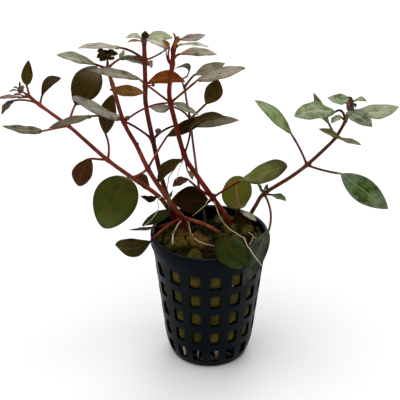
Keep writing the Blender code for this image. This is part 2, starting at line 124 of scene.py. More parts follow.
# Each leaf hangs at one of its stem's points, and the stem is the first letter of the leaf's name.
# A petiole has a length, a heading and a rise, a blade has a length, a width, a heading and a rise:
# headings run anticlockwise from +X, seen from above. Roll turns the blade about its midrib. A form
# has the fold of each half in degrees, the share by which the margins curl down and the height of
# the margin's waves. Bow and sag are the offsets of the middle of the blade and of the petiole from
# a straight line, and one number alone is an offset upwards. A shape has the place along the blade
# where it is widest and a power that is lower for a fuller, rounder blade. Twist turns the blade
# from base to tip, in degrees. Girth thickens the petiole where it leaves the stem.
USUAL_FORM = (14, 0.1, 0.1)
YOUNG_FORM = (20, 0.1, 0.1)
USUAL_SHAPE = (0.48, 0.8)
Leaf = namedtuple(
    "Leaf", "point petiole blade roll slot look form bow sag shape twist girth",
    defaults=(USUAL_FORM, 0, 0, USUAL_SHAPE, 0, 1.0)
)
LEAVES = {
    "a1": Leaf(8, (5, 122, 63), (10.5, 5.5, 73, 70), 0, "olive", "bronze", shape=(0.38, 0.8)),
    "a2": Leaf(7, (3.5, 64, 59), (11.5, 5.5, 30, 37), -25, "dark", "dark brown",
        (12, 0.1, 0.1), bow=(-1, 0, 2), shape=(0.58, 0.65)),
    "a3": Leaf(8, (4, 202, 3), (9.5, 5, 198, 4), 0, "silver", "pink silver", (10, 0.1, 0.1), bow=0.5),
    "a4": Leaf(7, (11, 196, 17), (8, 5, 217, -37), 0, "olive", "plum",
        (12, 0.2, 0.2), bow=(-0.5, 0, 1), sag=(0.5, 0, 1)),
    "a5": Leaf(6, (11.5, 195, -6), (17, 5.5, 194, 14), 20, "silver", "silver brown",
        (10, 0.1, 0.25), bow=-0.5, shape=(0.38, 0.7)),
    "a6": Leaf(6, (9.5, 60, 53), (19, 15.5, 38, 52), -20, "dark", "dark sheen",
        (8, 0.12, 0.1), sag=1, shape=(0.54, 0.65)),
    "a7": Leaf(4, (11.5, 103, 75), (17.5, 9.5, 57, 70), 0, "olive", "umber",
        (10, 0.1, 0.1), bow=(-0.5, 0, 0), sag=(1, 0, 0)),
    "a8": Leaf(4, (8.5, 209, 17), (13, 11, 236, -50), 0, "maroon", "maroon",
        (12, 0.2, 0.1), bow=(-1, 0, 0), shape=(0.52, 0.65)),
    "b1": Leaf(8, (7, 213, 28), (16.5, 7, 203, 21), 22, "silver", "silver green", (14, 0.1, 0.2), bow=0.5),
    "b2": Leaf(8, (9, 59, 10), (17.5, 6, 37, -22), -30, "dark", "sage",
        (30, 0.2, 0.2), bow=(-0.5, 0, 0.5), sag=0.5, twist=25),
    "b3": Leaf(6, (5.5, 113, -8), (28.5, 13, 222, 33), 20, "silver", "silver",
        (10, 0.15, 0.2), bow=(-0.5, 0, 0.5), shape=(0.5, 0.65)),
    "b4": Leaf(6, (23.5, 31, 9), (13.5, 5, 15, -30), -25, "silver", "silver green",
        (14, 0.1, 0.2), bow=0.5, sag=2.5),
    "b5": Leaf(4, (16.5, 45, 45), (18.5, 6.5, 7, 25), -35, "dark", "dark olive", (12, 0.1, 0.1), sag=0.5),
    "b6": Leaf(4, (10.5, 215, -7), (24, 19, 218, -57), 50, "green", "glossy green",
        (8, 0.2, 0.15), bow=(-0.5, 0, 0.5), sag=-1, shape=(0.44, 0.55)),
    "b7": Leaf(2, (11.5, 196, -14), (13, 4.5, 198, 3), -8, "dark", "dark brown",
        (12, 0.1, 0.1), bow=-0.5, sag=(1, 0, 0), girth=1.6),
    "b8": Leaf(2, (5.5, 166, 40), (15.5, 7.5, 200, -20), 10, "green", "forest", (12, 0.1, 0.1)),
    "b9": Leaf(2, (20.5, 228, -10), (16.5, 10, 206, 8), 30, "olive", "olive",
        (12, 0.15, 0.2), bow=(-0.5, 0, -2.5), sag=(-0.5, 0, 1), shape=(0.54, 0.7), girth=1.2),
    "b10": Leaf(2, (26.5, 311, 5), (18.5, 15.5, 296, -26), 0, "green", "forest",
        (6, 0.25, 0.1), bow=(0.5, 0, 0.5), sag=(1, 0, 1), shape=(0.5, 0.6), girth=1.8),
    "c1": Leaf(7, (2, 309, 48), (10.5, 6.5, 337, -16), -10, "silver", "blush",
        (12, 0.1, 0.1), bow=(0.5, 0, 1), twist=10),
    "c2": Leaf(7, (3, 71, 12), (11.5, 5.5, 21, -6), -30, "silver", "pale green", (12, 0.1, 0.1), bow=1),
    "c3": Leaf(6, (12.5, 199, 32), (18, 8.5, 206, 8), 0, "silver", "silver beige",
        (12, 0.1, 0.15), bow=0.5, sag=1),
    "c4": Leaf(5, (3, 240, -68), (15, 6, 196, 12), -75, "maroon", "amber", (10, 0.1, 0.2)),
    "c5": Leaf(5, (1.5, 42, 29), (16, 7.5, 11, -2), 70, "maroon", "rust", (10, 0.1, 0.2), bow=2.5),
    "c6": Leaf(3, (29, 191, 27), (19, 8.5, 199, -9), 0, "olive", "grey olive", (14, 0.1, 0.15), sag=3.5),
    "c7": Leaf(3, (13, 30, 20), (27.5, 6.5, 11, 0), -40, "dark", "dusk",
        (14, 0.1, 0.2), bow=0.5, sag=(-0.5, 0, 1)),
    "d1": Leaf(11, (2.5, 30, -30), (11.5, 5, 26, 2), -20, "silver", "grey purple", bow=-0.5),
    "d2": Leaf(10, (4, 327, 44), (13, 4.5, 337, 3), 0, "silver", "pale green", (16, 0.1, 0.1), bow=0.5),
    "d3": Leaf(9, (5.5, 29, 45), (16, 6, 18, -7), -20, "silver", "tan silver",
        (12, 0.15, 0.15), bow=1, sag=(-0.5, 0, 1)),
    "d4": Leaf(7, (22, 220, 42), (22, 6, 205, 18), 25, "silver", "silver",
        (12, 0.1, 0.2), bow=(0.5, 0, 0.5), shape=(0.48, 0.65)),
    "d5": Leaf(7, (18, 331, 44), (22, 7.5, 340, 21), -25, "silver", "silver beige",
        (12, 0.1, 0.2), shape=(0.48, 0.65)),
    "d6": Leaf(5, (18.5, 290, 62), (15.5, 6, 352, 21), -20, "olive", "umber",
        bow=(-0.5, 0, 2), sag=(0.5, 0, 0)),
    "d7": Leaf(5, (3.5, 254, -18), (14.5, 9.5, 210, -35), 0, "dark", "two tone",
        (24, 0.1, 0.2), bow=(-0.5, 0, 1)),
    "d8": Leaf(3, (5, 118, -47), (17, 13, 187, 7), 50, "dark", "near black",
        (10, 0.1, 0.1), bow=(0.5, 0, 0.5), girth=1.3),
    "d9": Leaf(3, (17.5, 343, 38), (22.5, 12.5, 336, 27), -30, "green", "moss",
        (10, 0.15, 0.15), bow=(0.5, 0, 0.5), sag=0.5, shape=(0.54, 0.6)),
    "e1": Leaf(7, (5.5, 308, 33), (6.5, 3, 160, 23), 30, "silver", "sage", bow=(3, 0, 3)),
    "e2": Leaf(6, (8, 342, 53), (14.5, 7.5, 21, 14), -20, "silver", "silver brown",
        (12, 0.1, 0.1), bow=(-0.5, 0, -0.5), sag=(0.5, 0, 1), shape=(0.54, 0.8)),
    "e3": Leaf(4, (12.5, 212, 40), (9.5, 6, 192, 3), 20, "silver", "silver",
        (12, 0.1, 0.1), bow=-1, sag=(0.5, 0, 1)),
    "e4": Leaf(4, (10, 0, 46), (12, 9, 36, 56), -20, "olive", "bronze", (10, 0.1, 0.1), bow=(1, 0, 0)),
    "f1": Leaf(3, (24, 272, -17), (27, 8, 241, -33), 30, "dark", "blue green",
        (10, 0.15, 0.2), bow=(-0.5, -1.5, 1.3), sag=(2, 0, 0), shape=(0.45, 0.65)),
    "f2": Leaf(5, (16, 165, 62), (23, 7.5, 187, 45), 40, "green", "bright green",
        (16, 0.1, 0.15), bow=(0.5, 0, 0.5), sag=(0.5, 0, 0)),
    "f3": Leaf(5, (17, 324, 2), (25, 11, 333, -28), -50, "green", "sheen green", (12, 0.15, 0.2), sag=-0.5),
    "f4": Leaf(7, (3.5, 289, 18), (10.5, 5, 325, -3), 0, "silver", "straw", (12, 0.1, 0.1)),
    "f5": Leaf(7, (7, 126, 45), (14.5, 6.5, 143, 56), 0, "olive", "straw",
        (12, 0.1, 0.1), bow=(-0.5, 0, -0.5)),
    "f6": Leaf(8, (6, 169, 36), (18.5, 9.5, 199, 2), 30, "green", "fresh silver",
        (14, 0.15, 0.45), bow=1.5, sag=(0.5, 0, 2.5), shape=(0.5, 0.65)),
    "f7": Leaf(8, (7.5, 268, 50), (12.5, 8.5, 324, -16), -20, "green", "cool green", (14, 0.1, 0.2), bow=1),
    "f8": Leaf(9, (3, 11, -35), (18.5, 8, 6, 4), -30, "silver", "pale green",
        (14, 0.1, 0.2), bow=(0.5, 0, -1.5)),
    "f9": Leaf(10, (3, 100, -13), (9.5, 6.5, 174, 2), 25, "silver", "fresh silver",
        (14, 0.1, 0.2), bow=(0.5, 0, -0.5)),
    "g1": Leaf(3, (2.5, 305, 46), (15, 17, 126, 73), 0, "green", "lime", (8, 0.1, 0.15), shape=(0.5, 0.5)),
}
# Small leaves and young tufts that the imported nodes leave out
LEAFLETS = {
    "a_tip_up": Leaf(9, (1, 180, 73), (3, 1, 82, 70), 0, "olive", "dark olive", YOUNG_FORM),
    "a_tip_left": Leaf(9, (1, 214, 38), (3, 1, 218, 29), 45, "olive", "dark olive", YOUNG_FORM, bow=0.5),
    "a_tip_low": Leaf(9, (1.5, 235, 14), (4, 1.5, 209, 2), 15, "olive", "grey olive", YOUNG_FORM, bow=0.5),
    "a_tip_front": Leaf(9, (2.5, 290, 19), (2, 3.5, 0, 50), -15, "olive", "rosy", YOUNG_FORM),
    "a_tip_back": Leaf(9, (1, 98, 25), (2, 1.5, 40, 37), 0, "olive", "dark olive", YOUNG_FORM),
    "a_axil": Leaf(8, (3.5, 233, 22), (4.5, 2, 206, 15), 15, "maroon", "rosy", bow=(-0.5, 0, 0.5)),
    "a_behind": Leaf(3, (2.5, 53, -6), (10, 7.5, 9, -52), -30, "maroon", "maroon", (12, 0.1, 0.15), bow=1.5),
    "a_low": Leaf(2, (3, 237, 30), (8, 5, 203, 15), 15, "dark", "near black", (14, 0.15, 0.2), bow=-1.5),
    "a_foot": Leaf(2, (1.5, 311, -40), (4, 2, 0, -19), -15, "green", "glossy green", bow=-1),
    "a_foot_up": Leaf(2, (2.5, 360, -13), (5, 3.5, 18, 49), 0, "green", "glossy green", bow=(0.5, 0, -1)),
    "b_rosette_1": Leaf(9, (0.5, 180, 23), (5, 3.5, 211, 35), 45, "dark", "umber", bow=0.5),
    "b_rosette_2": Leaf(9, (1, 252, 6), (5.5, 3.5, 227, 11), 30, "dark", "dark olive", bow=0.5),
    "b_rosette_3": Leaf(9, (2, 268, 1), (4, 4, 232, -4), 0, "dark", "umber"),
    "b_rosette_4": Leaf(9, (1, 0, 22), (3.5, 4, 16, 5), -15, "dark", "dark olive", bow=0.5),
    "b_rosette_5": Leaf(9, (1, 303, -15), (3, 3, 322, -2), -15, "dark", "umber"),
    "b_rosette_6": Leaf(9, (1, 69, 23), (3, 5, 27, 38), 0, "dark", "umber"),
    "b_rosette_7": Leaf(9, (1, 100, 24), (2.5, 3.5, 146, 45), 0, "dark", "dark olive"),
    "b_rosette_8": Leaf(9, (1.5, 272, -35), (3, 4, 272, 50), 0, "dark", "umber"),
    "b_flap": Leaf(8, (8, 55, 12), (4.5, 2.5, 61, 43), 0, "silver", "silver green",
        (14, 0.1, 0.2), sag=(-1, 0, 0)),
    "c_bud": Leaf(8, (3.2, 270, -66), (3.4, 3.5, 90, 76), 0, "green", "olive", YOUNG_FORM),
    "c_bud_back": Leaf(8, (3, 90, -79), (2.5, 1.5, 72, 71), 0, "green", "olive",
        YOUNG_FORM, bow=(0.5, 0, 0)),
    "c_left_top": Leaf(7, (2, 180, 54), (6.5, 4, 171, -2), 15, "silver", "pale green",
        (12, 0.1, 0.15), bow=1),
    "c_left_low": Leaf(7, (2, 241, 22), (6, 2, 195, 3), 15, "maroon", "tawny", (16, 0.1, 0.1), bow=0.5),
    "c_right": Leaf(6, (10, 343, 30), (4, 3, 0, 55), -30, "silver", "grey purple", sag=-0.5),
    "c_behind": Leaf(6, (3, 68, -30), (4.5, 3, 49, -54), -80, "silver", "grey purple",
        (12, 0.1, 0.1), bow=(0.5, 0, 0.5)),
    "d_spike": Leaf(11, (0.5, 240, -28), (2.5, 1.5, 180, 73), 30, "maroon", "tawny", YOUNG_FORM),
    "d_bud": Leaf(11, (2, 284, -43), (2.5, 2.5, 40, 55), 0, "maroon", "tawny", YOUNG_FORM, bow=(-0.5, 0, 0)),
    "d_bud_front": Leaf(11, (3.5, 269, -44), (3.5, 2.5, 334, 47), -45, "maroon", "tawny",
        YOUNG_FORM, bow=(-0.5, 0, 0)),
    "d_bud_low": Leaf(10, (3, 281, 33), (3.5, 2.5, 338, 68), -60, "maroon", "tawny", YOUNG_FORM),
    "d_left": Leaf(9, (8.5, 247, 72), (4.5, 3, 190, 47), 30, "maroon", "tawny",
        (16, 0.1, 0.1), bow=(0.5, 0, 0), sag=(-1, 0, -0.5)),
    "d_left_low": Leaf(9, (7, 221, 63), (4, 1.5, 100, 76), 0, "silver", "blush",
        bow=(-0.5, 0, 0), sag=(-0.5, 0, -1.5)),
    "d_foot": Leaf(3, (14, 175, 38), (7.5, 8, 197, -20), 0, "maroon", "maroon",
        (14, 0.1, 0.15), bow=0.5, sag=-0.5),
    "d_pink": Leaf(5, (8, 0, -80), (4.5, 3, 318, -51), 0, "silver", "pink silver",
        bow=(0.5, 0, 0.5), sag=-0.5),
    "f_pair": Leaf(7, (3.5, 299, 18), (10.5, 5.5, 186, 25), 15, "olive", "lime",
        (14, 0.1, 0.15), bow=(0.5, 0, 0)),
    "f_low": Leaf(3, (4, 330, 6), (7, 5.5, 333, -11), 0, "green", "meadow", (12, 0.1, 0.15), bow=0.5),
    "f_tuft_1": Leaf(3, (2, 180, 65), (4.5, 2.5, 204, 55), 45, "green", "meadow", (16, 0.1, 0.1)),
    "f_tuft_2": Leaf(3, (2, 180, 87), (3, 2.5, 29, 51), 0, "green", "meadow",
        (16, 0.1, 0.1), bow=(0.5, 0, 0)),
    "f_tuft_3": Leaf(3, (2, 241, 50), (4, 1.5, 229, 45), 80, "green", "meadow", (16, 0.1, 0.1)),
    "f_tuft_4": Leaf(3, (2, 288, 57), (3, 2, 335, 38), -30, "green", "glossy green", (16, 0.1, 0.1)),
    "f_lobe": Leaf(8, (4.5, 198, 42), (5.5, 4, 228, -20), 0, "green", "fresh silver",
        (14, 0.1, 0.3), bow=(0.5, 0, 0)),
    "f_tip_right": Leaf(10, (1, 302, -1), (5.5, 3.5, 339, 8), -15, "silver", "fresh silver", bow=1),
    "f_tip_up": Leaf(10, (0.5, 180, -18), (2.5, 3, 152, 37), 0, "maroon", "umber",
        YOUNG_FORM, bow=(0.5, 0, 0)),
    "f_tip_front": Leaf(10, (2.5, 245, -12), (3.5, 2, 218, 22), 30, "maroon", "rosy", YOUNG_FORM, bow=-0.5),
    "f_tip_low": Leaf(10, (2, 269, -13), (2.5, 1.5, 293, -29), 0, "maroon", "umber",
        YOUNG_FORM, bow=(0.5, 0, 0.5)),
    "g_silver": Leaf(3, (2.5, 319, 3), (8, 5, 333, -21), 0, "silver", "silver beige",
        (14, 0.1, 0.15), bow=0.5),
    "g_dark": Leaf(3, (3, 301, -12), (6, 4.5, 291, -37), 0, "dark", "near black",
        (12, 0.1, 0.15), bow=(-1, 0, 0.5)),
}

# The cross-section of a leaf: places across the blade from its midrib to its margins
ACROSS = (-1, -0.93, -0.78, -0.58, -0.38, -0.2, -0.08, 0, 0.08, 0.2, 0.38, 0.58, 0.78, 0.93, 1)
PETIOLE_STATIONS = 10
BLADE_STATIONS = 34
EVEN_SPACING = 0.35
PETIOLE_RADIUS = 0.5
SMALLEST_STALK = 0.55
WIDE_BLADE = 16
PETIOLE_FLARE = 0.5
FLARE_LENGTH = 1.2
BLADE_START = 0.14
MIDRIB_THICKNESS = 0.34
MARGIN_THICKNESS = 0.12
RIB_GROOVE = 0.16
RIB_RIDGE = 0.3
RIB_HALF_WIDTH = 0.5
RIB_FULL_WIDTH = 8
RIB_FADE = 1.1
TIP_HALF_WIDTH = 0.12
MARGIN_WAVES = 2.3
MARGIN_LAG = 1.9
TOP, UNDERSIDE, PETIOLE = range(3)

# A stem's mesh: it swells at each node and narrows over the last part of its last span
STEM_RINGS_PER_SPAN = 10
STEM_SIDES = 16
NODE_SWELL = 0.3
NODE_LENGTH = 1.3
STEM_TIP_SPANS = 0.8
STEM_TIP_SHARE = 0.25
STEM_WOBBLE = 0.05
STEM_WOBBLE_SIZE = 2.0
TIP_ROUNDING = (0.5, 0.85, 0.99)

# For the margins' waves, the fibres and the noise
SEED = 11

# A look has the top's colours at the base, the middle, the tip and the margin, then the midrib,
# the underside and the midrib on the underside, in thousandths. Veins and the mottle are shares: the
# mottle share also paints patches of sheen, paler towards the midrib's colour, beside darker patches.
Look = namedtuple("Look", "base middle tip margin rib under under_rib rib_width veins mottle gloss shine")
# Painted sheen: the pale silvery colours of the silver looks (pink silver, silver brown, silver, silver
# beige, silver green, fresh silver, tan silver), the pale base of sheen green and the pale tip of dark sheen
# stand for the light's reflection on waxy tops
LOOKS = {
    "bronze": Look((60, 42, 4), (50, 36, 3), (55, 22, 3), (60, 26, 6), (100, 45, 12),
        (80, 40, 10), (120, 50, 20), 0.1, 0.15, 0.6, 0.34, 0.025),
    "dark brown": Look((25, 13, 3), (42, 24, 7), (60, 36, 18), (30, 12, 4), (60, 30, 15),
        (30, 20, 8), (60, 30, 15), 0.12, 0.15, 0.6, 0.3, 0.025),
    "pink silver": Look((170, 90, 55), (200, 100, 70), (110, 45, 40), (100, 35, 30), (300, 200, 150),
        (150, 60, 50), (200, 90, 70), 0.12, 0.3, 0.8, 0.35, 0.1),
    "plum": Look((90, 70, 25), (110, 80, 45), (60, 30, 25), (60, 30, 20), (150, 80, 50),
        (100, 50, 40), (150, 70, 50), 0.12, 0.2, 0.7, 0.34, 0.08),
    "silver brown": Look((130, 100, 50), (150, 130, 70), (150, 140, 80), (70, 50, 20), (250, 220, 150),
        (100, 70, 35), (180, 100, 50), 0.08, 0.3, 0.9, 0.3, 0.1),
    "dark sheen": Look((35, 18, 2), (38, 26, 3), (120, 95, 60), (35, 20, 4), (60, 25, 8),
        (50, 30, 10), (90, 35, 15), 0.07, 0.1, 0.6, 0.3, 0.02),
    "umber": Look((50, 30, 6), (42, 27, 6), (45, 30, 5), (50, 35, 12), (90, 40, 12),
        (60, 35, 10), (110, 50, 20), 0.1, 0.15, 0.5, 0.34, 0.025),
    "maroon": Look((65, 19, 4), (60, 18, 4), (60, 20, 8), (80, 35, 20), (120, 50, 20),
        (80, 30, 10), (140, 50, 20), 0.07, 0.15, 0.4, 0.36, 0.025),
    "silver": Look((120, 85, 45), (230, 200, 135), (130, 110, 65), (80, 65, 30), (340, 310, 230),
        (130, 100, 55), (220, 130, 80), 0.1, 0.3, 1.0, 0.3, 0.1),
    "silver beige": Look((170, 130, 60), (280, 240, 170), (300, 270, 180), (140, 110, 60), (440, 390, 310),
        (170, 120, 80), (280, 180, 130), 0.1, 0.3, 1.0, 0.3, 0.1),
    "silver green": Look((140, 140, 65), (250, 240, 145), (200, 195, 120), (70, 75, 25), (360, 360, 250),
        (110, 110, 55), (180, 150, 90), 0.08, 0.3, 1.0, 0.3, 0.1),
    "dark olive": Look((60, 25, 10), (20, 12, 2), (4, 3, 1), (20, 14, 4), (40, 18, 6),
        (30, 25, 6), (60, 30, 10), 0.08, 0.1, 0.4, 0.3, 0.015),
    "glossy green": Look((50, 45, 4), (36, 56, 3), (70, 88, 18), (28, 36, 4), (120, 35, 10),
        (60, 60, 8), (120, 50, 20), 0.04, 0.1, 0.45, 0.28, 0.08),
    "sage": Look((120, 125, 50), (50, 50, 20), (60, 15, 8), (100, 40, 30), (200, 190, 110),
        (80, 30, 20), (120, 50, 30), 0.08, 0.25, 0.8, 0.3, 0.08),
    "forest": Look((22, 22, 1), (14, 28, 1), (24, 40, 6), (10, 16, 1), (50, 24, 6),
        (30, 35, 6), (80, 30, 12), 0.09, 0.08, 0.6, 0.28, 0.03),
    "olive": Look((12, 9, 1), (28, 22, 3), (55, 50, 12), (20, 18, 4), (50, 40, 12),
        (40, 35, 10), (80, 50, 20), 0.06, 0.15, 0.5, 0.34, 0.025),
    "moss": Look((160, 160, 45), (120, 135, 30), (35, 30, 2), (35, 35, 4), (200, 170, 70),
        (90, 85, 18), (160, 100, 40), 0.05, 0.12, 0.6, 0.3, 0.08),
    "pale green": Look((290, 290, 160), (310, 330, 190), (300, 300, 180), (200, 190, 90), (500, 520, 360),
        (200, 180, 100), (300, 240, 160), 0.1, 0.35, 0.8, 0.32, 0.12),
    "blush": Look((280, 260, 160), (420, 430, 280), (500, 360, 360), (300, 200, 170), (550, 500, 400),
        (250, 170, 120), (350, 220, 170), 0.1, 0.25, 0.9, 0.34, 0.12),
    "grey purple": Look((220, 180, 100), (200, 155, 130), (400, 350, 320), (160, 100, 90), (400, 340, 300),
        (180, 120, 90), (280, 180, 140), 0.1, 0.3, 0.9, 0.32, 0.12),
    "amber": Look((260, 120, 40), (130, 70, 12), (260, 110, 35), (400, 170, 70), (360, 170, 70),
        (240, 110, 20), (400, 180, 80), 0.08, 0.3, 0.6, 0.4, 0.05),
    "rust": Look((340, 130, 70), (250, 60, 4), (360, 110, 30), (500, 190, 100), (360, 120, 50),
        (240, 60, 3), (400, 140, 60), 0.08, 0.25, 0.5, 0.4, 0.05),
    "grey olive": Look((140, 130, 80), (120, 100, 50), (120, 60, 35), (100, 60, 30), (200, 160, 100),
        (120, 65, 40), (180, 90, 60), 0.1, 0.25, 0.8, 0.3, 0.1),
    "dusk": Look((12, 4, 1), (100, 75, 40), (180, 160, 110), (50, 30, 15), (220, 180, 130),
        (50, 30, 12), (100, 50, 25), 0.08, 0.35, 0.9, 0.28, 0.08),
    "two tone": Look((40, 26, 4), (30, 21, 2), (32, 20, 5), (60, 40, 20), (80, 35, 12),
        (280, 240, 180), (400, 300, 220), 0.08, 0.15, 0.4, 0.3, 0.02),
    "near black": Look((22, 9, 1), (18, 10, 1), (26, 14, 2), (16, 9, 2), (45, 14, 5),
        (30, 14, 4), (50, 18, 7), 0.08, 0.1, 0.5, 0.32, 0.01),
    "blue green": Look((55, 60, 30), (27, 37, 22), (45, 50, 37), (30, 35, 20), (90, 90, 60),
        (70, 70, 40), (110, 80, 50), 0.08, 0.2, 0.8, 0.28, 0.08),
    "bright green": Look((80, 130, 8), (240, 340, 120), (280, 360, 180), (90, 140, 15), (360, 440, 240),
        (110, 140, 20), (200, 180, 80), 0.07, 0.2, 0.7, 0.3, 0.12),
    "sheen green": Look((150, 190, 120), (55, 100, 14), (110, 150, 70), (120, 150, 80), (240, 280, 170),
        (100, 120, 40), (180, 140, 80), 0.06, 0.12, 0.9, 0.28, 0.08),
    "straw": Look((130, 120, 25), (140, 130, 35), (150, 140, 60), (110, 90, 20), (260, 220, 120),
        (150, 140, 35), (260, 210, 100), 0.09, 0.25, 0.7, 0.36, 0.06),
    "fresh silver": Look((140, 200, 50), (190, 250, 120), (220, 270, 150), (90, 150, 35), (500, 550, 400),
        (160, 190, 80), (300, 260, 160), 0.07, 0.4, 1.0, 0.28, 0.1),
    "cool green": Look((140, 165, 75), (130, 155, 85), (120, 140, 100), (70, 100, 35), (400, 440, 340),
        (140, 170, 80), (260, 240, 150), 0.07, 0.35, 1.0, 0.28, 0.1),
    "tan silver": Look((360, 130, 30), (280, 240, 160), (280, 240, 170), (220, 150, 90), (420, 360, 280),
        (300, 140, 50), (360, 200, 100), 0.1, 0.3, 0.9, 0.3, 0.1),
    "tawny": Look((300, 100, 20), (220, 75, 12), (120, 40, 10), (300, 120, 40), (340, 140, 50),
        (300, 100, 30), (400, 180, 80), 0.1, 0.2, 0.5, 0.36, 0.025),
    "rosy": Look((120, 30, 15), (200, 60, 40), (100, 30, 20), (250, 90, 70), (250, 100, 70),
        (150, 50, 30), (250, 100, 70), 0.12, 0.2, 0.6, 0.34, 0.08),
    "meadow": Look((50, 70, 6), (50, 100, 10), (80, 130, 25), (30, 45, 6), (140, 180, 50),
        (60, 90, 12), (120, 100, 30), 0.08, 0.15, 0.7, 0.3, 0.06),
    "lime": Look((130, 110, 20), (115, 120, 6), (130, 130, 10), (80, 90, 5), (260, 140, 90),
        (100, 95, 12), (260, 140, 90), 0.1, 0.06, 0.3, 0.3, 0.05),
}
SIDE_VEINS = 9
VEIN_SLANT = 0.22
VEIN_WANDER = 0.06
DARK_BLOTCH = (0.36, 0.36, 0.3)

# The two colours of each stem, in thousandths
STEM_COLOURS = {
    "a": ((300, 55, 40), (190, 40, 14)),
    "b": ((150, 14, 10), (240, 70, 22)),
    "c": ((80, 9, 4), (160, 20, 8)),
    "d": ((130, 11, 4), (210, 30, 8)),
    "e": ((200, 80, 50), (120, 30, 15)),
    "f": ((100, 24, 10), (150, 50, 22)),
    "g": ((70, 15, 7), (100, 28, 12)),
}
# Swollen nodes that carry no packed leaf
BARE_NODES = (("b", 7),)

# Buds: stem, point, heading, rise, length of the stalk, length and radius
BUDS = (
    ("c", 3, 20, 55, 3.5, 2.6, 1.5), ("b", 6, 30, 40, 1.5, 2.2, 1.1), ("b", 4, 100, 60, 0.4, 1.8, 0.8),
    ("b", 5, 60, 40, 0.4, 1.5, 0.7), ("c", 3, 200, 30, 0.4, 1.8, 0.8), ("c", 5, 10, 0, 2.8, 1.6, 0.7),
    ("d", 3, 30, 60, 0.4, 2.0, 0.9), ("f", 3, 20, 30, 3.2, 1.8, 0.8), ("f", 5, 110, 50, 0.4, 1.8, 0.8),
    ("f", 5, 20, 0, 0.5, 2.0, 0.9), ("f", 9, 110, 80, -1.5, 5.5, 1.8), ("c", 7, 80, 85, -0.5, 3.5, 1.5),
    ("a", 9, 150, 40, -1.0, 3.0, 1.3),
)
SHORTEST_STALK = 2
STALK_RADII = (0.3, 0.25, 0.25)
BUD_SINK = 0.2
BUD_RINGS = 13
BUD_SIDES = 16
BUD_SPAN = (0.04, 0.95)
BUD_SKEW = 0.8
BUD_FULLNESS = 0.7
BUD_RIBS = 4
BUD_RIB = 0.1
BUD_TWIST = 2.5

# Spots on top of the plug: x, y, spread and strength
WOOL_HUMPS = ((-7, -7, 9, 4.5), (16, 5, 8, 3.5), (-18, -4, 8, 2), (0, 14, 12, 2.5))
CLEFTS = (
    (-1, -15, 3, 4), (-15, -15.5, 4, 4), (4.5, -3, 3.5, 5), (0, 6, 5, 4),
    (-4, 20, 8, 4), (18, -8, 3, 3),
)
WARM_SPOTS = ((-5, -5, 7, 1.2), (-13, -1, 4, 0.7), (12, 12, 5, 0.4), (3, -12, 4, 0.5))
# Painted shade in the clefts: a cleft this deep adds full shade
CLEFT_SHADE_DEPTH = 3.5
LUMP_SIZE = 9.5
LUMP_WARP = 2.8
LUMP_WARP_SIZE = 5.0
LUMP_HEIGHT = 2.8
LUMP_MIDDLE = 0.6
CREASE_WIDTH = 0.3
# Painted shade at the bottom of a crease between lumps
CREASE_SHADE = 0.85

# The plug's mesh, and the grain of its surface as pairs of size and height
WOOL_SIDES = 192
WOOL_LEVELS = 64
WOOL_RINGS = 60
WOOL_RIM_SHARE = 0.985
TOP_GRAIN = ((3.0, 0.9), (1.2, 0.5))
SIDE_GRAIN = ((3.0, 0.55), (0.9, 0.25))
SIDE_GRAIN_RADIUS = 20.0
WINDOW_SWELL = 0.55
BAR_PRESS = 0.1
SIDE_GAP = 0.25
# Painted shade and warmth of the plug's side, each as a start and a gain with its grain: more painted shade
# where the grain dips, warmer where it rises
SIDE_SHADE = ((0.2, -0.6), (0.1, 0.8))

FIBRES = 420
FIBRE_RADIUS = 0.07
FIBRE_SIDES = 4
FIBRE_STEPS = 5
FIBRE_LENGTHS = (1.5, 4.0)
FIBRE_TURN = 0.5
FIBRE_ARCH = 0.18
FIBRE_STARTS = 22.0
FIBRE_REACH = 23.0

# The pot's mesh: each quarter of a cell has two stretches of border beside one rounded corner.
# The edge of the foot is rounded through pairs of inset and height.
WINDOW_SHARE = 0.54
HOLE_CORNER = 0.7
HOLE_BEVEL = 0.15
CORNER_STEPS = 4
BORDER_STEPS = 3
RIM_ROUNDING = 0.5
RIM_ARC = (0.3, 0.25)
RIM_CHAMFER = 0.3
RIM_DRAFT = 0.05
NECK_GROOVE = (0.05, 0.4)
FOOT_EDGE_TOP = 0.9
FOOT_EDGE = ((0.15, 0.3), (0.8, 0.0))
FLOOR_MARGIN = 1.0
MERGE_DISTANCE = 0.02
SHARP_ANGLE = 35

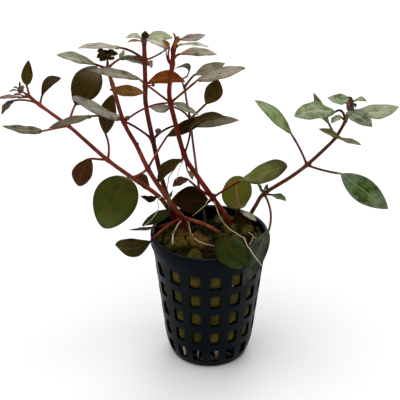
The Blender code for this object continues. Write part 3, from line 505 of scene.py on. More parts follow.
# Roots: radius, tip radius and route
ROOTS = {
    "root_d": (0.3, 0.18, (
        (1.5, 8, 73), (3, 5.5, 69.6), (5, 4.5, 64.5), (8, 5, 60), (11, 1.5, 59.2), (14.5, -2, 58.7),
        (15, -10, 62.3), (15.8, -16.5, 63), (18, -22.5, 62.3), (20.5, -26, 60.3), (22, -26.5, 58))),
    "root_b": (0.26, 0.16, (
        (-12, 4, 65), (-9.2, 2, 63.8), (-8.5, 0, 60.5), (-6.5, -8.5, 61.5), (-2.5, -11.5, 60.7),
        (2.5, -11, 59))),
    "root_b_left": (0.22, 0.14, (
        (-19.5, 2, 77.5), (-22.5, 1, 75.5), (-22.3, 0, 72), (-25, -1.5, 67.5), (-29.7, -3, 63.8))),
    "root_d_left": (0.2, 0.12, (
        (1, 8, 72.5), (-0.5, 6, 73), (-2, 4.5, 71), (-4.5, 3.5, 69), (-7.5, 3, 66.5))),
    "root_b_foot": (0.3, 0.4, ((-12, 3.5, 65), (-14.5, 0, 62.5), (-16, -3.5, 61), (-16, -10.5, 60))),
    "root_d_high": (0.24, 0.2, (
        (-11, 6, 94.5), (-14.5, 4, 90), (-17.5, 3, 85.5), (-18, 3, 82.5), (-18.5, 3, 80))),
    "root_d_hair": (0.16, 0.1, ((-11, 5.5, 93.5), (-13, 4, 89.5), (-14, 4, 86), (-14.5, 4, 83))),
    "root_curl": (0.2, 0.14, (
        (15.5, 6, 58), (16.5, 3.5, 59.2), (17, 1.5, 59.5), (19, -1, 59), (20.5, -2, 57.5))),
    "root_curl_front": (0.2, 0.14, (
        (17.5, -7.5, 57.5), (18.5, -6, 59.2), (19.5, -4, 59.6), (21.5, -1, 57.5))),
    "root_window": (0.3, 0.2, ((9.5, -19, 46.5), (10, -20.6, 45), (11, -20.6, 42.5))),
    "root_low_left": (0.8, 0.6, ((-11.5, -9.5, 14), (-11.5, -11.5, 9), (-11, -12, 4.5), (-11, -12, 2.4))),
    "root_low_middle": (0.45, 0.35, ((-5.5, -11.5, 14), (-5.5, -13.5, 9.5), (-5, -14, 5.5), (-5, -14.2, 3))),
    "root_low_right": (1.1, 1.2, ((3, -11, 14), (3, -13, 9), (3.5, -13.6, 5), (3.5, -13.6, 2.8))),
}
ROOT_STEPS = 8
ROOT_SIDES = 8
ROOT_WANDER = 0.35
ROOT_WANDER_SIZE = 2.0

# Studio: place in metres, diameter in metres and power in watts
FLOOR_SIZE = 6.0
WORLD_STRENGTH = 0.42
LIGHTS = (
    ("top light", (-0.25, -0.1, 1.2), 1.8, 12.0),
    ("back light", (0.3, 1.3, 0.95), 1.3, 9.0),
    ("side light", (1.2, 0.1, 0.5), 0.7, 2.0),
)
LIT_POINT = (0, 0, 0.08)


def tint(thousandths):
    """A colour from its values in thousandths."""
    return tuple(value / 1000 for value in thousandths)


class Finish:
    """A material's node tree, built by feeding the outputs of one node into the next."""

    def __init__(self, name):
        self.material = bpy.data.materials.new(name)
        self.material.use_nodes = True
        self.tree = self.material.node_tree
        self.shader = self.tree.nodes["Principled BSDF"]

    def feed(self, socket, value):
        if isinstance(value, bpy.types.NodeSocket):
            self.tree.links.new(value, socket)
        elif isinstance(value, tuple) and len(value) == 3 and socket.type == "RGBA":
            socket.default_value = (*value, 1.0)
        else:
            socket.default_value = value

    def set(self, **values):
        for name, value in values.items():
            self.feed(self.shader.inputs[name.replace("_", " ").title().replace("Ior", "IOR")], value)

    def math(self, operation, *values):
        node = self.tree.nodes.new("ShaderNodeMath")
        node.operation = operation
        for socket, value in zip(node.inputs, values):
            self.feed(socket, value)
        return node.outputs[0]

    def fit(self, value, low, high, start=0.0, end=1.0):
        """The value moved smoothly from the range low to high into the range start to end."""
        node = self.tree.nodes.new("ShaderNodeMapRange")
        node.interpolation_type = "SMOOTHSTEP"
        for socket, number in zip(node.inputs, (value, low, high, start, end)):
            self.feed(socket, number)
        return node.outputs[0]

    def mix(self, share, first, second, blend="MIX"):
        node = self.tree.nodes.new("ShaderNodeMix")
        node.data_type = "RGBA"
        node.blend_type = blend
        self.feed(node.inputs[0], share)
        self.feed(node.inputs[6], first)
        self.feed(node.inputs[7], second)
        return node.outputs[2]

    def darken(self, colour, shares):
        """The colour with each of its values taken down to a share."""
        return self.mix(1.0, colour, shares, blend="MULTIPLY")

    def place(self, stretch=(1.0, 1.0, 1.0)):
        """Places on the object in metres, stretched along its axes."""
        coordinates = self.tree.nodes.new("ShaderNodeTexCoord")
        mapping = self.tree.nodes.new("ShaderNodeMapping")
        mapping.inputs["Scale"].default_value = stretch
        self.tree.links.new(coordinates.outputs["Object"], mapping.inputs["Vector"])
        return mapping.outputs[0]

    def carried(self):
        """The two numbers that each point of the mesh carries."""
        coordinates = self.tree.nodes.new("ShaderNodeTexCoord")
        split = self.tree.nodes.new("ShaderNodeSeparateXYZ")
        self.tree.links.new(coordinates.outputs["UV"], split.inputs[0])
        return split.outputs[0], split.outputs[1]

    def across_and_along(self):
        """The distance from the midrib, 0 to 1 at the margin, and the place from base 0 to tip 1."""
        sideways, along = self.carried()
        centred = self.math("SUBTRACT", sideways, 0.5)
        return self.math("MULTIPLY", self.math("ABSOLUTE", centred), 2.0), along

    def noise(self, size, where=None, detail=3.0, roughness=0.55):
        """Noise whose blotches are about the given size in millimetres."""
        node = self.tree.nodes.new("ShaderNodeTexNoise")
        node.inputs["Scale"].default_value = 1.0 / (size * MM)
        node.inputs["Detail"].default_value = detail
        node.inputs["Roughness"].default_value = roughness
        self.tree.links.new(where or self.place(), node.inputs["Vector"])
        return node.outputs["Fac"]

    def bump(self, height, depth):
        """A relief of the given depth in millimetres."""
        node = self.tree.nodes.new("ShaderNodeBump")
        node.inputs["Distance"].default_value = depth * MM
        self.feed(node.inputs["Height"], height)
        self.feed(self.shader.inputs["Normal"], node.outputs[0])


def leaf_side(name, look, colours, rib):
    """One side of a leaf: base to tip colours, a midrib, side veins, darker patches, paler patches of
    painted sheen and a waxy gloss.
    """
    finish = Finish(name)
    across, along = finish.across_and_along()
    base, middle, tip, margin = (tint(colour) for colour in colours)
    rib = tint(rib)
    colour = finish.mix(finish.fit(along, 0.0, 0.42), base, middle)
    colour = finish.mix(finish.fit(along, 0.5, 1.0), colour, tip)
    colour = finish.mix(finish.fit(across, 0.55, 1.05, 0.0, 0.8), colour, margin)
    slant = finish.math("SUBTRACT", along, finish.math("MULTIPLY", across, VEIN_SLANT))
    slant = finish.math("ADD", slant, finish.fit(finish.noise(2.4), 0.3, 0.7, -VEIN_WANDER, VEIN_WANDER))
    wave = finish.math("SINE", finish.math("MULTIPLY", slant, 2 * math.pi * SIDE_VEINS))
    inner = finish.fit(across, 0.95, 0.5)
    veins = finish.math("MULTIPLY", finish.fit(wave, 0.55, 1.0), inner)
    colour = finish.mix(finish.math("MULTIPLY", veins, look.veins), colour, rib)
    # Noise patches: the paler ones are painted sheen, mixed towards the midrib's colour; the darker ones are
    # mottling of the leaf's own colour
    sheen_and_blotches = finish.noise(3.8, detail=5.0)
    painted_sheen = finish.mix(0.5, colour, rib)
    colour = finish.mix(finish.fit(sheen_and_blotches, 0.45, 0.75, 0.0, look.mottle), colour, painted_sheen)
    darker = finish.darken(colour, DARK_BLOTCH)
    colour = finish.mix(finish.fit(sheen_and_blotches, 0.52, 0.32, 0.0, look.mottle), colour, darker)
    reach = finish.math("MULTIPLY", finish.fit(along, 1.0, 0.0, 0.3, 1.0), look.rib_width)
    midrib = finish.fit(finish.math("DIVIDE", across, reach), 1.0, 0.45)
    colour = finish.mix(midrib, colour, rib)
    finish.set(base_color=colour, specular_ior_level=look.shine)
    finish.set(roughness=finish.fit(finish.noise(1.4), 0.3, 0.7, look.gloss - 0.06, look.gloss + 0.08))
    relief = finish.math("ADD", finish.math("MULTIPLY", veins, -0.6), finish.noise(0.9, detail=2.0))
    finish.bump(relief, 0.05)
    return finish.material


def leaf_materials(look_name, stem):
    """The top and the underside of a leaf with the named look, and the stem's own skin for its petiole."""
    petiole = bpy.data.materials[f"stem {stem}"]
    found = bpy.data.materials.get(f"{look_name} top")
    if found:
        return [found, bpy.data.materials[f"{look_name} underside"], petiole]
    look = LOOKS[look_name]
    top = leaf_side(f"{look_name} top", look, (look.base, look.middle, look.tip, look.margin), look.rib)
    below = leaf_side(f"{look_name} underside", look, (look.under,) * 4, look.under_rib)
    return [top, below, petiole]


def stem_material(name, colour, second):
    """Smooth skin with fine lines along the stem and patches of a second colour."""
    finish = Finish(name)
    patches = finish.noise(7.0, finish.place((1.0, 1.0, 0.35)))
    lines = finish.noise(0.8, finish.place((1.0, 1.0, 0.12)), detail=2.0)
    shade = finish.mix(finish.fit(patches, 0.4, 0.65), colour, second)
    dark = finish.darken(shade, (0.45, 0.4, 0.4))
    shade = finish.mix(finish.fit(lines, 0.55, 0.35, 0.0, 0.7), shade, dark)
    finish.set(base_color=shade, specular_ior_level=0.06)
    finish.set(roughness=finish.fit(patches, 0.3, 0.7, 0.26, 0.38))
    finish.bump(lines, 0.08)
    return finish.material


def pot_material():
    """Blue-black moulded plastic, slightly paler where worn, with a fine moulding texture."""
    finish = Finish("pot plastic")
    wear = finish.noise(9.0, detail=5.0)
    grain = finish.noise(0.35, detail=1.0)
    new, worn = tint((0.3, 2.8, 4.5)), tint((0.8, 5, 8))
    colour = finish.mix(finish.fit(wear, 0.45, 0.75, 0.0, 0.6), new, worn)
    finish.set(base_color=colour, specular_ior_level=0.055)
    finish.set(roughness=finish.fit(wear, 0.3, 0.7, 0.34, 0.46))
    finish.bump(grain, 0.02)
    return finish.material


def wool_material():
    """Wet fibrous mineral wool: yellow-brown and moss-green lumps, with painted shade in the creases and
    clefts.
    """
    finish = Finish("mineral wool")
    painted_shade, warmth = finish.carried()
    patches = finish.noise(5.0, detail=4.0)
    strands = finish.noise(0.7, finish.place((1.0, 0.5, 2.4)), detail=6.0, roughness=0.7)
    warmth = finish.math("ADD", warmth, finish.fit(patches, 0.35, 0.65, -0.25, 0.3))
    colour = finish.mix(finish.fit(warmth, 0.1, 0.8), (0.095, 0.082, 0.012), (0.18, 0.095, 0.013))
    dark = finish.darken(colour, (0.08, 0.07, 0.06))
    colour = finish.mix(finish.fit(strands, 0.56, 0.36, 0.0, 0.85), colour, dark)
    # Painted shade: each point's carried share darkens the creases and clefts of the top and the dips of the
    # side
    colour = finish.mix(finish.fit(painted_shade, 0.05, 0.75), colour, dark)
    finish.set(base_color=colour, roughness=0.9, specular_ior_level=0.08)
    finish.bump(strands, 0.7)
    return finish.material


def root_material():
    """Cream root with brownish lengths."""
    finish = Finish("root")
    patches = finish.noise(5.0)
    colour = finish.mix(finish.fit(patches, 0.5, 0.7), (0.55, 0.47, 0.33), (0.26, 0.17, 0.09))
    finish.set(base_color=colour, roughness=0.55)
    finish.bump(finish.noise(0.5), 0.05)
    return finish.material


def bud_material():
    """Dull red-brown skin in two shades."""
    finish = Finish("bud")
    patches = finish.noise(1.6)
    colour = finish.mix(finish.fit(patches, 0.4, 0.65), (0.045, 0.016, 0.008), (0.09, 0.045, 0.018))
    finish.set(base_color=colour, roughness=0.45)
    finish.bump(patches, 0.1)
    return finish.material


def add_object(name, data):
    """A new object in the scene."""
    made = bpy.data.objects.new(name, data)
    bpy.context.collection.objects.link(made)
    return made


def add_piece(name, points, faces, materials, node, kinds=None, uvs=None, sharp=None):
    """A mesh piece from points in millimetres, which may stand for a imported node.

    Kinds has the material of each face, uvs two numbers for each point that its material reads.
    """
    mesh = bpy.data.meshes.new(name)
    mesh.from_pydata([Vector(p) * MM for p in points], [], faces)
    for made in materials:
        mesh.materials.append(made)
    if kinds:
        mesh.polygons.foreach_set("material_index", kinds)
    if uvs:
        layer = mesh.uv_layers.new(name="carried")
        for loop in mesh.loops:
            layer.data[loop.index].uv = uvs[loop.vertex_index]
    mesh.shade_smooth()
    if sharp:
        mesh.set_sharp_from_angle(angle=math.radians(sharp))
    mesh.validate()
    piece = add_object(name, mesh)
    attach(piece, "root")
    if node:
        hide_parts(node)


def loft(rings):
    """Points and outward faces of a closed body through rings that run anticlockwise, seen from the end."""
    sides = len(rings[0])
    points = [p for ring in rings for p in ring]
    faces = [tuple(reversed(range(sides)))]
    for k in range(len(rings) - 1):
        for i in range(sides):
            j = (i + 1) % sides
            faces.append((k * sides + i, k * sides + j, (k + 1) * sides + j, (k + 1) * sides + i))
    last = (len(rings) - 1) * sides
    faces.append(tuple(last + i for i in range(sides)))
    return points, faces


def merged(bodies):
    """Points and faces of several bodies as one piece."""
    points = []
    faces = []
    for more_points, more_faces in bodies:
        start = len(points)
        points += more_points
        faces += [tuple(start + i for i in face) for face in more_faces]
    return points, faces


def curve_through(points, steps):
    """Points on a smooth curve through the given ones, with their place along it."""
    points = [Vector(p) for p in points]
    ends = [2 * points[0] - points[1], *points, 2 * points[-1] - points[-2]]
    for k in range(len(points) - 1):
        before, here, there, after = ends[k : k + 4]
        out = here + (there - before) / 6
        back = there - (after - here) / 6
        for i, p in enumerate(interpolate_bezier(here, out, back, there, steps + 1)[:-1]):
            yield k + i / steps, p
    yield len(points) - 1, points[-1]


def tube(path, radii, sides):
    """A round closed body that doesn't twist along its path and closes in a rounded tip."""
    rings = []
    side = None
    tip_way = (path[-1] - path[-2]).normalized()
    stations = list(zip(path, radii))
    for share in TIP_ROUNDING:
        rounding = radii[-1] * math.sqrt(1 - share**2)
        stations.append((path[-1] + tip_way * radii[-1] * share, rounding))
    for k, (here, radius) in enumerate(stations):
        before = stations[max(k - 1, 0)][0]
        after = stations[min(k + 1, len(stations) - 1)][0]
        ahead = (after - before).normalized()
        side = ahead.orthogonal() if side is None else side - ahead * side.dot(ahead)
        side.normalize()
        up = ahead.cross(side)
        turns = [2 * math.pi * i / sides for i in range(sides)]
        rings.append([here + radius * (side * math.cos(turn) + up * math.sin(turn)) for turn in turns])
    return loft(rings)


def direction(heading, rise):
    """The unit vector with a heading and a rise in degrees."""
    heading = math.radians(heading)
    rise = math.radians(rise)
    return Vector((math.cos(heading) * math.cos(rise), math.sin(heading) * math.cos(rise), math.sin(rise)))


def blade_side(heading, roll, along):
    """The way to the blade's right-hand side, as seen from the stem."""
    heading = math.radians(heading)
    side = Vector((math.sin(heading), -math.cos(heading), 0))
    turn = math.radians(roll)
    return side * math.cos(turn) + side.cross(along) * math.sin(turn)


def bent(start, control, end, share):
    """A point on a quadratic curve and the way that the curve runs there."""
    here = start * (1 - share) ** 2 + control * 2 * share * (1 - share) + end * share**2
    ahead = (control - start) * (1 - share) + (end - control) * share
    return here, ahead.normalized()


def blade_half_width(leaf, share):
    """Broad in the middle, narrowing into the petiole and to a pointed tip."""
    widest, fullness = leaf.shape
    power = math.log(0.5) / math.log(widest)
    full = math.sin(math.pi * min(share, 0.999) ** power) ** fullness
    return max(leaf.blade[1] / 2 * full, stalk_radius(leaf) * (1 - share), TIP_HALF_WIDTH)


def stalk_radius(leaf):
    """Half the thickness of a petiole: slimmer for a small leaf."""
    return PETIOLE_RADIUS * min(1.0, SMALLEST_STALK + leaf.blade[1] / WIDE_BLADE)


def offset(value):
    """A leaf's bow or sag as a vector."""
    return Vector(value if isinstance(value, tuple) else (0, 0, value))


def leaf_section(here, side, top, half, blade, share, leaf, phase):
    """One closed ring across a leaf. Blade runs from 0, a round petiole, to 1, a thin folded blade."""
    fold, curl, wave = leaf.form
    fold = math.radians(fold)
    scale = min(1.0, leaf.blade[1] / RIB_FULL_WIDTH)
    upper = []
    lower = []
    for u in ACROSS:
        reach = half * u * (1 - blade + blade * math.cos(fold))
        bend = half * abs(u) * math.sin(fold) - curl * half * u * u
        lag = MARGIN_LAG if u > 0 else 0
        ripple = math.sin(2 * math.pi * MARGIN_WAVES * share + phase + lag)
        bend += wave * ripple * abs(u) ** 2 * math.sin(math.pi * share)
        thick = MIDRIB_THICKNESS + (MARGIN_THICKNESS - MIDRIB_THICKNESS) * abs(u)
        thick = thick / 2 * math.sqrt(max(0.0, 1 - u**6))
        rib = math.exp(-((reach / (RIB_HALF_WIDTH * scale)) ** 2)) * scale * (RIB_FADE - share)
        round_part = (1 - blade) * half * math.sqrt(1 - u * u)
        centre = here + side * reach + top * bend * blade
        upper.append(centre + top * (round_part + blade * (thick - RIB_GROOVE * rib)))
        lower.append(centre - top * (round_part + blade * (thick + RIB_RIDGE * rib)))
    return upper + lower[-2:0:-1]


def petiole_rings(leaf, node, base, side):
    """Round rings from the stem to the base of the blade."""
    middle = (node + base) / 2 + 2 * offset(leaf.sag)
    for k in range(PETIOLE_STATIONS):
        share = k / PETIOLE_STATIONS
        here, ahead = bent(node, middle, base, share)
        right = (side - ahead * side.dot(ahead)).normalized()
        flare = leaf.girth + (1 - leaf.girth) * share
        flare += PETIOLE_FLARE * math.exp(-share * leaf.petiole[0] / FLARE_LENGTH)
        radius = stalk_radius(leaf) * flare
        yield leaf_section(here, right, right.cross(ahead), radius, 0.0, 0, leaf, 0)


def leaf_body(leaf, node, phase):
    """Points, faces, face kinds and places on the blade of a petiole with its blade."""
    stalk, stalk_heading, stalk_rise = leaf.petiole
    length, _, heading, rise = leaf.blade
    base = node + direction(stalk_heading, stalk_rise) * stalk
    along = direction(heading, rise)
    tip = base + along * length
    side = blade_side(heading, leaf.roll, along)
    rings = list(petiole_rings(leaf, node, base, side))
    places = [0.0] * PETIOLE_STATIONS
    for k in range(BLADE_STATIONS):
        even = k / (BLADE_STATIONS - 1)
        share = EVEN_SPACING * even + (1 - EVEN_SPACING) * (1 - math.cos(math.pi * even)) / 2
        here, ahead = bent(base, (base + tip) / 2 + 2 * offset(leaf.bow), tip, share)
        top = side.cross(ahead).normalized()
        turn = Matrix.Rotation(math.radians(leaf.twist) * (share - 0.5), 3, ahead)
        half = blade_half_width(leaf, share)
        blade = min(1.0, share / BLADE_START)
        blade = blade * blade * (3 - 2 * blade)
        rings.append(leaf_section(here, turn @ side, turn @ top, half, blade, share, leaf, phase))
        places.append(share)
    points, faces = loft(rings)
    split = len(ACROSS) - 1
    halves = [TOP if i < split else UNDERSIDE for i in range(len(rings[0]))]
    kinds = [PETIOLE] + [PETIOLE] * len(halves) * (PETIOLE_STATIONS - 1)
    kinds += halves * BLADE_STATIONS + [UNDERSIDE]
    u_of = [0.5 + u / 2 for u in ACROSS]
    u_of += u_of[-2:0:-1]
    uvs = [(u, place) for place in places for u in u_of]
    return points, faces, kinds, uvs


def add_leaf(name, letter, leaf):
    """A leaf on the stem with the given letter."""
    node = Vector(STEMS[letter].points[leaf.point])
    phase = random.uniform(0, 2 * math.pi)
    points, faces, kinds, uvs = leaf_body(leaf, node, phase)
    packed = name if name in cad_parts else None
    materials = leaf_materials(leaf.look, letter)
    add_piece(f"fine_{name}", points, faces, materials, packed, kinds, uvs)


def add_stem(letter):
    """A tube with a swelling at every node."""
    stem = STEMS[letter]
    nodes = {leaf.point for name, leaf in LEAVES.items() if name[0] == letter}
    nodes |= {point for owner, point in BARE_NODES if owner == letter}
    last = len(stem.points) - 1
    path = []
    radii = []
    for place, here in curve_through(stem.points, STEM_RINGS_PER_SPAN):
        wobble = STEM_WOBBLE * noise.noise(here / STEM_WOBBLE_SIZE)
        radius = stem.foot_radius + (stem.tip_radius - stem.foot_radius) * (place / last)
        gaps = [(here - Vector(stem.points[point])).length for point in nodes]
        swell = max((math.exp(-((gap / NODE_LENGTH) ** 2)) for gap in gaps), default=0.0)
        taper = min(1.0, STEM_TIP_SHARE + (1 - STEM_TIP_SHARE) * (last - place) / STEM_TIP_SPANS)
        path.append(here)
        radii.append(radius * taper * (1 + NODE_SWELL * swell + wobble))
    points, faces = tube(path, radii, STEM_SIDES)
    colour, second = STEM_COLOURS[letter]
    made = stem_material(f"stem {letter}", tint(colour), tint(second))
    add_piece(f"fine_stem_{letter}", points, faces, [made], f"stem_{letter}")


def wall_radius(height):
    """The outside of the wall at a height."""
    cone = CONE_FOOT_RADIUS + (NECK_RADIUS - CONE_FOOT_RADIUS) * height / (POT_HEIGHT - RIM_HEIGHT)
    curve = max(0.0, 1 - height / FOOT_CURVE_HEIGHT) ** 2
    return cone - (CONE_FOOT_RADIUS - FOOT_RADIUS) * curve


def on_circle(radius, angle, height):
    """A point around the pot's axis."""
    return Vector((radius * math.cos(angle), radius * math.sin(angle), height))


def rounded_rectangle(half_width, half_height, radius):
    """Anticlockwise outline that starts in the middle of the right side, the same count each time."""
    outline = [(half_width, 0.0)]
    for quarter in range(4):
        sign_x = 1 if quarter in (0, 3) else -1
        sign_y = 1 if quarter in (0, 1) else -1
        for i in range(CORNER_STEPS + 1):
            turn = math.pi / 2 * (quarter + i / CORNER_STEPS)
            x = sign_x * (half_width - radius) + radius * math.cos(turn)
            y = sign_y * (half_height - radius) + radius * math.sin(turn)
            outline.append((x, y))
        middles = ((0.0, half_height), (-half_width, 0.0), (0.0, -half_height))
        outline += middles[quarter : quarter + 1]
    return outline


def cell_border(half_width, half_height):
    """The cell's own border, point for point beside the rounded rectangle's outline."""
    corners = ((1, 1), (-1, 1), (-1, -1), (1, -1))
    middles = ((1, 0), (0, 1), (-1, 0), (0, -1))
    border = []
    for quarter in range(4):
        stops = (middles[quarter], corners[quarter], middles[(quarter + 1) % 4])
        for start, end in zip(stops, stops[1:]):
            for i in range(BORDER_STEPS):
                x = start[0] + (end[0] - start[0]) * i / BORDER_STEPS
                y = start[1] + (end[1] - start[1]) * i / BORDER_STEPS
                border.append((x * half_width, y * half_height))
    return border


def bridge(bm, rings):
    """Faces between each closed ring of points and the next."""
    for near, far in zip(rings, rings[1:]):
        for i in range(len(near)):
            j = (i + 1) % len(near)
            bm.faces.new((near[i], near[j], far[j], far[i]))


def pierced_cell(bm, place, half_width, half_height, hole_width, hole_height):
    """A cell of wall with a rounded hole and softened edges. Place takes x, y and the depth in the wall."""
    border = cell_border(half_width, half_height)
    rings = [[place(x, y, 0.0) for x, y in border]]
    for depth, grow in ((0.0, HOLE_BEVEL), (HOLE_BEVEL, 0.0), (WALL - HOLE_BEVEL, 0.0), (WALL, HOLE_BEVEL)):
        outline = rounded_rectangle(hole_width + grow, hole_height + grow, HOLE_CORNER + grow)
        rings.append([place(x, y, depth) for x, y in outline])
    rings.append([place(x, y, WALL) for x, y in border])
    bridge(bm, [[bm.verts.new(p) for p in ring] for ring in rings])


def turned_band(bm, profile):
    """A closed or open band of wall, turned about the pot's axis with the cells' own spacing."""
    spokes = 2 * BORDER_STEPS * COLUMNS
    first = math.radians(FRONT_WINDOW_ANGLE) - math.pi / COLUMNS
    turns = [first + 2 * math.pi * i / spokes for i in range(spokes)]
    rings = [[bm.verts.new(on_circle(radius, turn, height)) for turn in turns] for radius, height in profile]
    bridge(bm, rings)
    return rings


def rim_profile(low_end):
    """The neck, the rounded rim band and the inside of the neck, from and to the top row of windows."""
    neck = POT_HEIGHT - RIM_HEIGHT
    inner = RIM_RADIUS - RIM_WIDTH
    edge = RIM_ROUNDING
    arc = edge * RIM_ARC[0]
    shoulder = POT_HEIGHT - edge * RIM_ARC[1]
    groove, groove_drop = NECK_GROOVE
    return [
        (wall_radius(low_end), low_end), (wall_radius(neck) - groove, neck - groove_drop),
        (RIM_RADIUS - RIM_CHAMFER, neck), (RIM_RADIUS, neck + RIM_CHAMFER),
        (RIM_RADIUS + RIM_DRAFT, POT_HEIGHT - edge), (RIM_RADIUS - arc, shoulder),
        (RIM_RADIUS - edge, POT_HEIGHT), (inner + edge, POT_HEIGHT),
        (inner + arc, shoulder), (inner, POT_HEIGHT - edge),
        (wall_radius(neck) - WALL, neck), (wall_radius(low_end) - WALL, low_end),
    ]


def add_net_pot():
    """The basket as one body: rows of pierced cells, a rounded rim and a slotted floor."""
    bm = bmesh.new()
    pitch = 2 * math.pi / COLUMNS
    low = LOWEST_SILL + WINDOW_HEIGHT / 2 - WINDOW_PITCH / 2
    high = low + WINDOW_ROWS * WINDOW_PITCH
    floor_low, floor_high = SLOT_RADII[0] - FLOOR_MARGIN, SLOT_RADII[1] + FLOOR_MARGIN
    floor_half = (floor_high - floor_low) / 2
    for column in range(COLUMNS):
        middle = math.radians(FRONT_WINDOW_ANGLE) + column * pitch
        for row in range(WINDOW_ROWS):
            centre = low + (row + 0.5) * WINDOW_PITCH
            radius = wall_radius(centre)

            def on_wall(x, y, depth):
                height = centre + y
                return on_circle(wall_radius(height) - depth, middle + x / radius, height)

            half = radius * pitch / 2
            pierced_cell(bm, on_wall, half, WINDOW_PITCH / 2, half * WINDOW_SHARE, WINDOW_HEIGHT / 2)
        radius = (floor_low + floor_high) / 2

        def on_floor(x, y, depth):
            return on_circle(radius - y, middle + x / radius, depth)

        half = radius * pitch / 2
        pierced_cell(bm, on_floor, half, floor_half, half / 2, floor_half - FLOOR_MARGIN)
    turned_band(bm, rim_profile(high))
    foot = [(wall_radius(low), low), (wall_radius(FOOT_EDGE_TOP), FOOT_EDGE_TOP)]
    foot += [(FOOT_RADIUS - inset, height) for inset, height in FOOT_EDGE]
    turned_band(bm, foot + [(floor_high, 0.0)])
    corner = wall_radius(WALL) - WALL - FOOT_EDGE[-1][0]
    turned_band(bm, [(floor_high, WALL), (corner, WALL), (wall_radius(low) - WALL, low)])
    hub = floor_low / 2
    bm.faces.new(turned_band(bm, [(floor_low, 0.0), (hub, 0.0)])[-1])
    bm.faces.new(turned_band(bm, [(hub, WALL), (floor_low, WALL)])[0])
    bmesh.ops.remove_doubles(bm, verts=bm.verts, dist=MERGE_DISTANCE)
    bmesh.ops.recalc_face_normals(bm, faces=bm.faces)
    bm.verts.index_update()
    points = [v.co.copy() for v in bm.verts]
    faces = [tuple(v.index for v in f.verts) for f in bm.faces]
    bm.free()
    add_piece("fine_net_pot", points, faces, [pot_material()], "net_pot", sharp=SHARP_ANGLE)


def wool_lump(x, y):
    """0 in the crease between two lumps of the plug's top and 1 on a lump."""
    place = Vector((x, y, 0.0))
    warped = place + noise.noise_vector(place / LUMP_WARP_SIZE) * LUMP_WARP
    near, next_near = noise.voronoi(warped / LUMP_SIZE)[0][:2]
    return min(1.0, (next_near - near) / CREASE_WIDTH)


def spots(x, y, places):
    """The sum of round soft spots, each with a place, a spread and a strength."""
    return sum(rise * math.exp(-((x - u) ** 2 + (y - v) ** 2) / spread**2) for u, v, spread, rise in places)


def grain(place, sizes):
    """Fine relief at a place: the sum of noises, each with a size and a height."""
    return sum(height * noise.noise(place / size) for size, height in sizes)


def wool_top(x, y):
    """The plug's top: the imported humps, with lumps and dark clefts between them."""
    height = WOOL_EDGE_HEIGHT + spots(x, y, WOOL_HUMPS) - spots(x, y, CLEFTS)
    height += LUMP_HEIGHT * (math.sqrt(wool_lump(x, y)) - LUMP_MIDDLE)
    return height + grain(Vector((x, y, 0.0)), TOP_GRAIN)


def wool_shade(x, y):
    """How much painted shade a place on the top gets, from 0 to 1, most in the creases between lumps and in
    the clefts, and how warm its colour is.
    """
    painted_shade = CREASE_SHADE - wool_lump(x, y) + spots(x, y, CLEFTS) / CLEFT_SHADE_DEPTH
    return min(1.0, max(0.0, painted_shade)), min(1.0, max(0.0, spots(x, y, WARM_SPOTS)))


def window_share(angle, height):
    """1 in the middle of a window and 0 behind a bar."""
    pitch = 2 * math.pi / COLUMNS
    turn = ((angle - math.radians(FRONT_WINDOW_ANGLE)) / pitch + 0.5) % 1 - 0.5
    row = ((height - LOWEST_SILL - WINDOW_HEIGHT / 2) / WINDOW_PITCH + 0.5) % 1 - 0.5
    inside_x = 1 - min(1.0, abs(turn) / (WINDOW_SHARE / 2)) ** 4
    inside_y = 1 - min(1.0, abs(row) * WINDOW_PITCH / (WINDOW_HEIGHT / 2)) ** 4
    return max(0.0, inside_x) * max(0.0, inside_y)


def wool_side(angle, z):
    """A point on the plug's side, where it swells into the windows, with its painted shade, deeper where the
    grain dips, and its warmth.
    """
    swell = window_share(angle, z)
    lump = grain(on_circle(SIDE_GRAIN_RADIUS, angle, z), SIDE_GRAIN)
    radius = wall_radius(z) - WALL - SIDE_GAP + swell * (WINDOW_SWELL + lump) - (1 - swell) * BAR_PRESS
    return on_circle(radius, angle, z), tuple(start + gain * lump for start, gain in SIDE_SHADE)


def add_rock_wool():
    """The plug: it presses a little way into the windows, and its top is lumpy."""
    rings = []
    shades = []
    angles = [2 * math.pi * i / WOOL_SIDES for i in range(WOOL_SIDES)]
    for k in range(WOOL_LEVELS):
        z = WOOL_BOTTOM + (SIDE_TOP - WOOL_BOTTOM) * k / (WOOL_LEVELS - 1)
        found = [wool_side(angle, z) for angle in angles]
        rings.append([point for point, _ in found])
        shades += [shade for _, shade in found]
    edge = wall_radius(WOOL_EDGE_HEIGHT) - WALL - WOOL_GAP
    for k in range(WOOL_RINGS):
        share = math.cos(math.pi / 2 * k / WOOL_RINGS) * WOOL_RIM_SHARE
        flat = [on_circle(edge * share, angle, 0.0) for angle in angles]
        rings.append([Vector((p.x, p.y, wool_top(p.x, p.y))) for p in flat])
        shades += [wool_shade(p.x, p.y) for p in flat]
    # Each point carries its painted shade and its warmth for the material
    points, faces = loft(rings)
    add_piece("fine_rock_wool", points, faces, [wool_material()], "rock_wool", uvs=shades)


def fibre_path():
    """A short wandering arch over the plug's top, from a random place."""
    angle = random.uniform(0, 2 * math.pi)
    reach = FIBRE_STARTS * math.sqrt(random.random())
    x, y = reach * math.cos(angle), reach * math.sin(angle)
    heading = random.uniform(0, 2 * math.pi)
    length = random.uniform(*FIBRE_LENGTHS)
    for k in range(FIBRE_STEPS + 1):
        heading += random.uniform(-FIBRE_TURN, FIBRE_TURN)
        x += math.cos(heading) * length / FIBRE_STEPS
        y += math.sin(heading) * length / FIBRE_STEPS
        rise = math.sin(math.pi * k / FIBRE_STEPS) * length * FIBRE_ARCH
        yield Vector((x, y, wool_top(x, y) + rise))


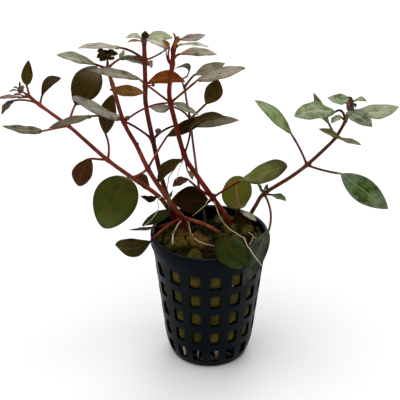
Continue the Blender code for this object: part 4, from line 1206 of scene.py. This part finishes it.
def add_fibres():
    """Loose fibres on the top of the plug, leaving out those that would touch the pot."""
    bodies = []
    for _ in range(FIBRES):
        path = list(fibre_path())
        if max(math.hypot(p.x, p.y) for p in path) < FIBRE_REACH:
            bodies.append(tube(path, [FIBRE_RADIUS] * len(path), FIBRE_SIDES))
    points, faces = merged(bodies)
    add_piece("wool_fibres", points, faces, [wool_material()], None)


def root_body(route, radius, tip_radius):
    """A thin wavering root along its route."""
    curve = list(curve_through(route, ROOT_STEPS))
    path = []
    radii = []
    for k, (_, here) in enumerate(curve):
        share = k / (len(curve) - 1)
        spot = here / ROOT_WANDER_SIZE
        shake = Vector((noise.noise(spot), noise.noise(spot + Vector((9, 0, 0))), 0))
        path.append(here + shake * ROOT_WANDER * math.sin(math.pi * share))
        radii.append(radius + (tip_radius - radius) * share)
    return tube(path, radii, ROOT_SIDES)


def add_roots():
    """The three packed roots and the smaller ones."""
    made = root_material()
    for name, (radius, tip_radius, route) in ROOTS.items():
        points, faces = root_body(route, radius, tip_radius)
        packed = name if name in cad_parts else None
        add_piece(f"fine_{name}", points, faces, [made], packed)


def bud_body(place, way, length, radius):
    """A small egg-shaped bud with four ribs."""
    way = way.normalized()
    side = way.orthogonal().normalized()
    up = way.cross(side)
    rings = []
    for k in range(BUD_RINGS):
        share = k / (BUD_RINGS - 1)
        swell = math.sin(math.pi * (BUD_SPAN[0] + BUD_SPAN[1] * share) ** BUD_SKEW) ** BUD_FULLNESS
        centre = place + way * length * share
        ring = []
        for i in range(BUD_SIDES):
            turn = 2 * math.pi * i / BUD_SIDES
            reach = radius * swell * (1 + BUD_RIB * math.cos(BUD_RIBS * turn + BUD_TWIST * share))
            ring.append(centre + reach * (side * math.cos(turn) + up * math.sin(turn)))
        rings.append(ring)
    return loft(rings)


def add_buds():
    """Buds in the leaf axils and at the tips, the farther ones on a stalk."""
    bodies = []
    for stem, point, heading, rise, stalk, length, radius in BUDS:
        node = Vector(STEMS[stem].points[point])
        way = direction(heading, rise)
        if stalk > SHORTEST_STALK:
            bodies.append(tube([node, node + way * stalk / 2, node + way * stalk], STALK_RADII, ROOT_SIDES))
        bodies.append(bud_body(node + way * (stalk - BUD_SINK), way, length, radius))
    points, faces = merged(bodies)
    add_piece("buds", points, faces, [bud_material()], None)


def add_light(name, place, size, power):
    """A soft round light that points at the middle of the pot."""
    data = bpy.data.lights.new(name, "AREA")
    data.shape = "DISK"
    data.size = size
    data.energy = power
    light = add_object(name, data)
    light.location = place
    light.visible_camera = False
    light.rotation_euler = (Vector(LIT_POINT) - light.location).to_track_quat("-Z", "Y").to_euler()
    light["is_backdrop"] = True


def add_stage():
    """A plain pale floor, soft studio light and the camera at the photograph's angle."""
    bpy.ops.mesh.primitive_plane_add(size=FLOOR_SIZE)
    floor = bpy.context.object
    floor.name = "floor"
    finish = Finish("floor")
    finish.set(base_color=(0.95, 0.95, 0.95), roughness=1.0, specular_ior_level=0.0)
    floor.data.materials.append(finish.material)
    floor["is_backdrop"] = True
    world = bpy.data.worlds.new("studio")
    bpy.context.scene.world = world
    world.use_nodes = True
    background = world.node_tree.nodes["Background"]
    background.inputs["Color"].default_value = (1, 1, 1, 1)
    background.inputs["Strength"].default_value = WORLD_STRENGTH
    for light in LIGHTS:
        add_light(*light)
    camera_data = bpy.data.cameras.new("camera")
    camera_data.sensor_width = SENSOR
    camera_data.lens = FOCAL_PIXELS * SENSOR / IMAGE_SIZE
    camera_data.clip_start = 0.01
    camera = add_object("camera", camera_data)
    elevation = math.radians(CAMERA_ELEVATION)
    back = Vector((0, -math.cos(elevation), math.sin(elevation)))
    camera.location = (Vector(LOOK_AT) + back * CAMERA_DISTANCE) * MM
    camera.rotation_euler = (math.pi / 2 - elevation, 0, 0)
    bpy.context.scene.camera = camera
    bpy.context.scene.view_settings.view_transform = "Standard"


def main():
    """Builds every piece of the plant, then the stage."""
    random.seed(SEED)
    noise.seed_set(SEED)
    for letter in STEMS:
        add_stem(letter)
    for name, leaf in LEAVES.items():
        add_leaf(f"leaf_{name}", name[0], leaf)
    for name, leaf in LEAFLETS.items():
        add_leaf(name, name[0], leaf)
    add_net_pot()
    add_rock_wool()
    add_fibres()
    add_roots()
    add_buds()
    add_stage()


main()
boxes = {"cad": CAD_BOX, "visual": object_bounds()}
{name: [list(corner) for corner in box] for name, box in boxes.items()}
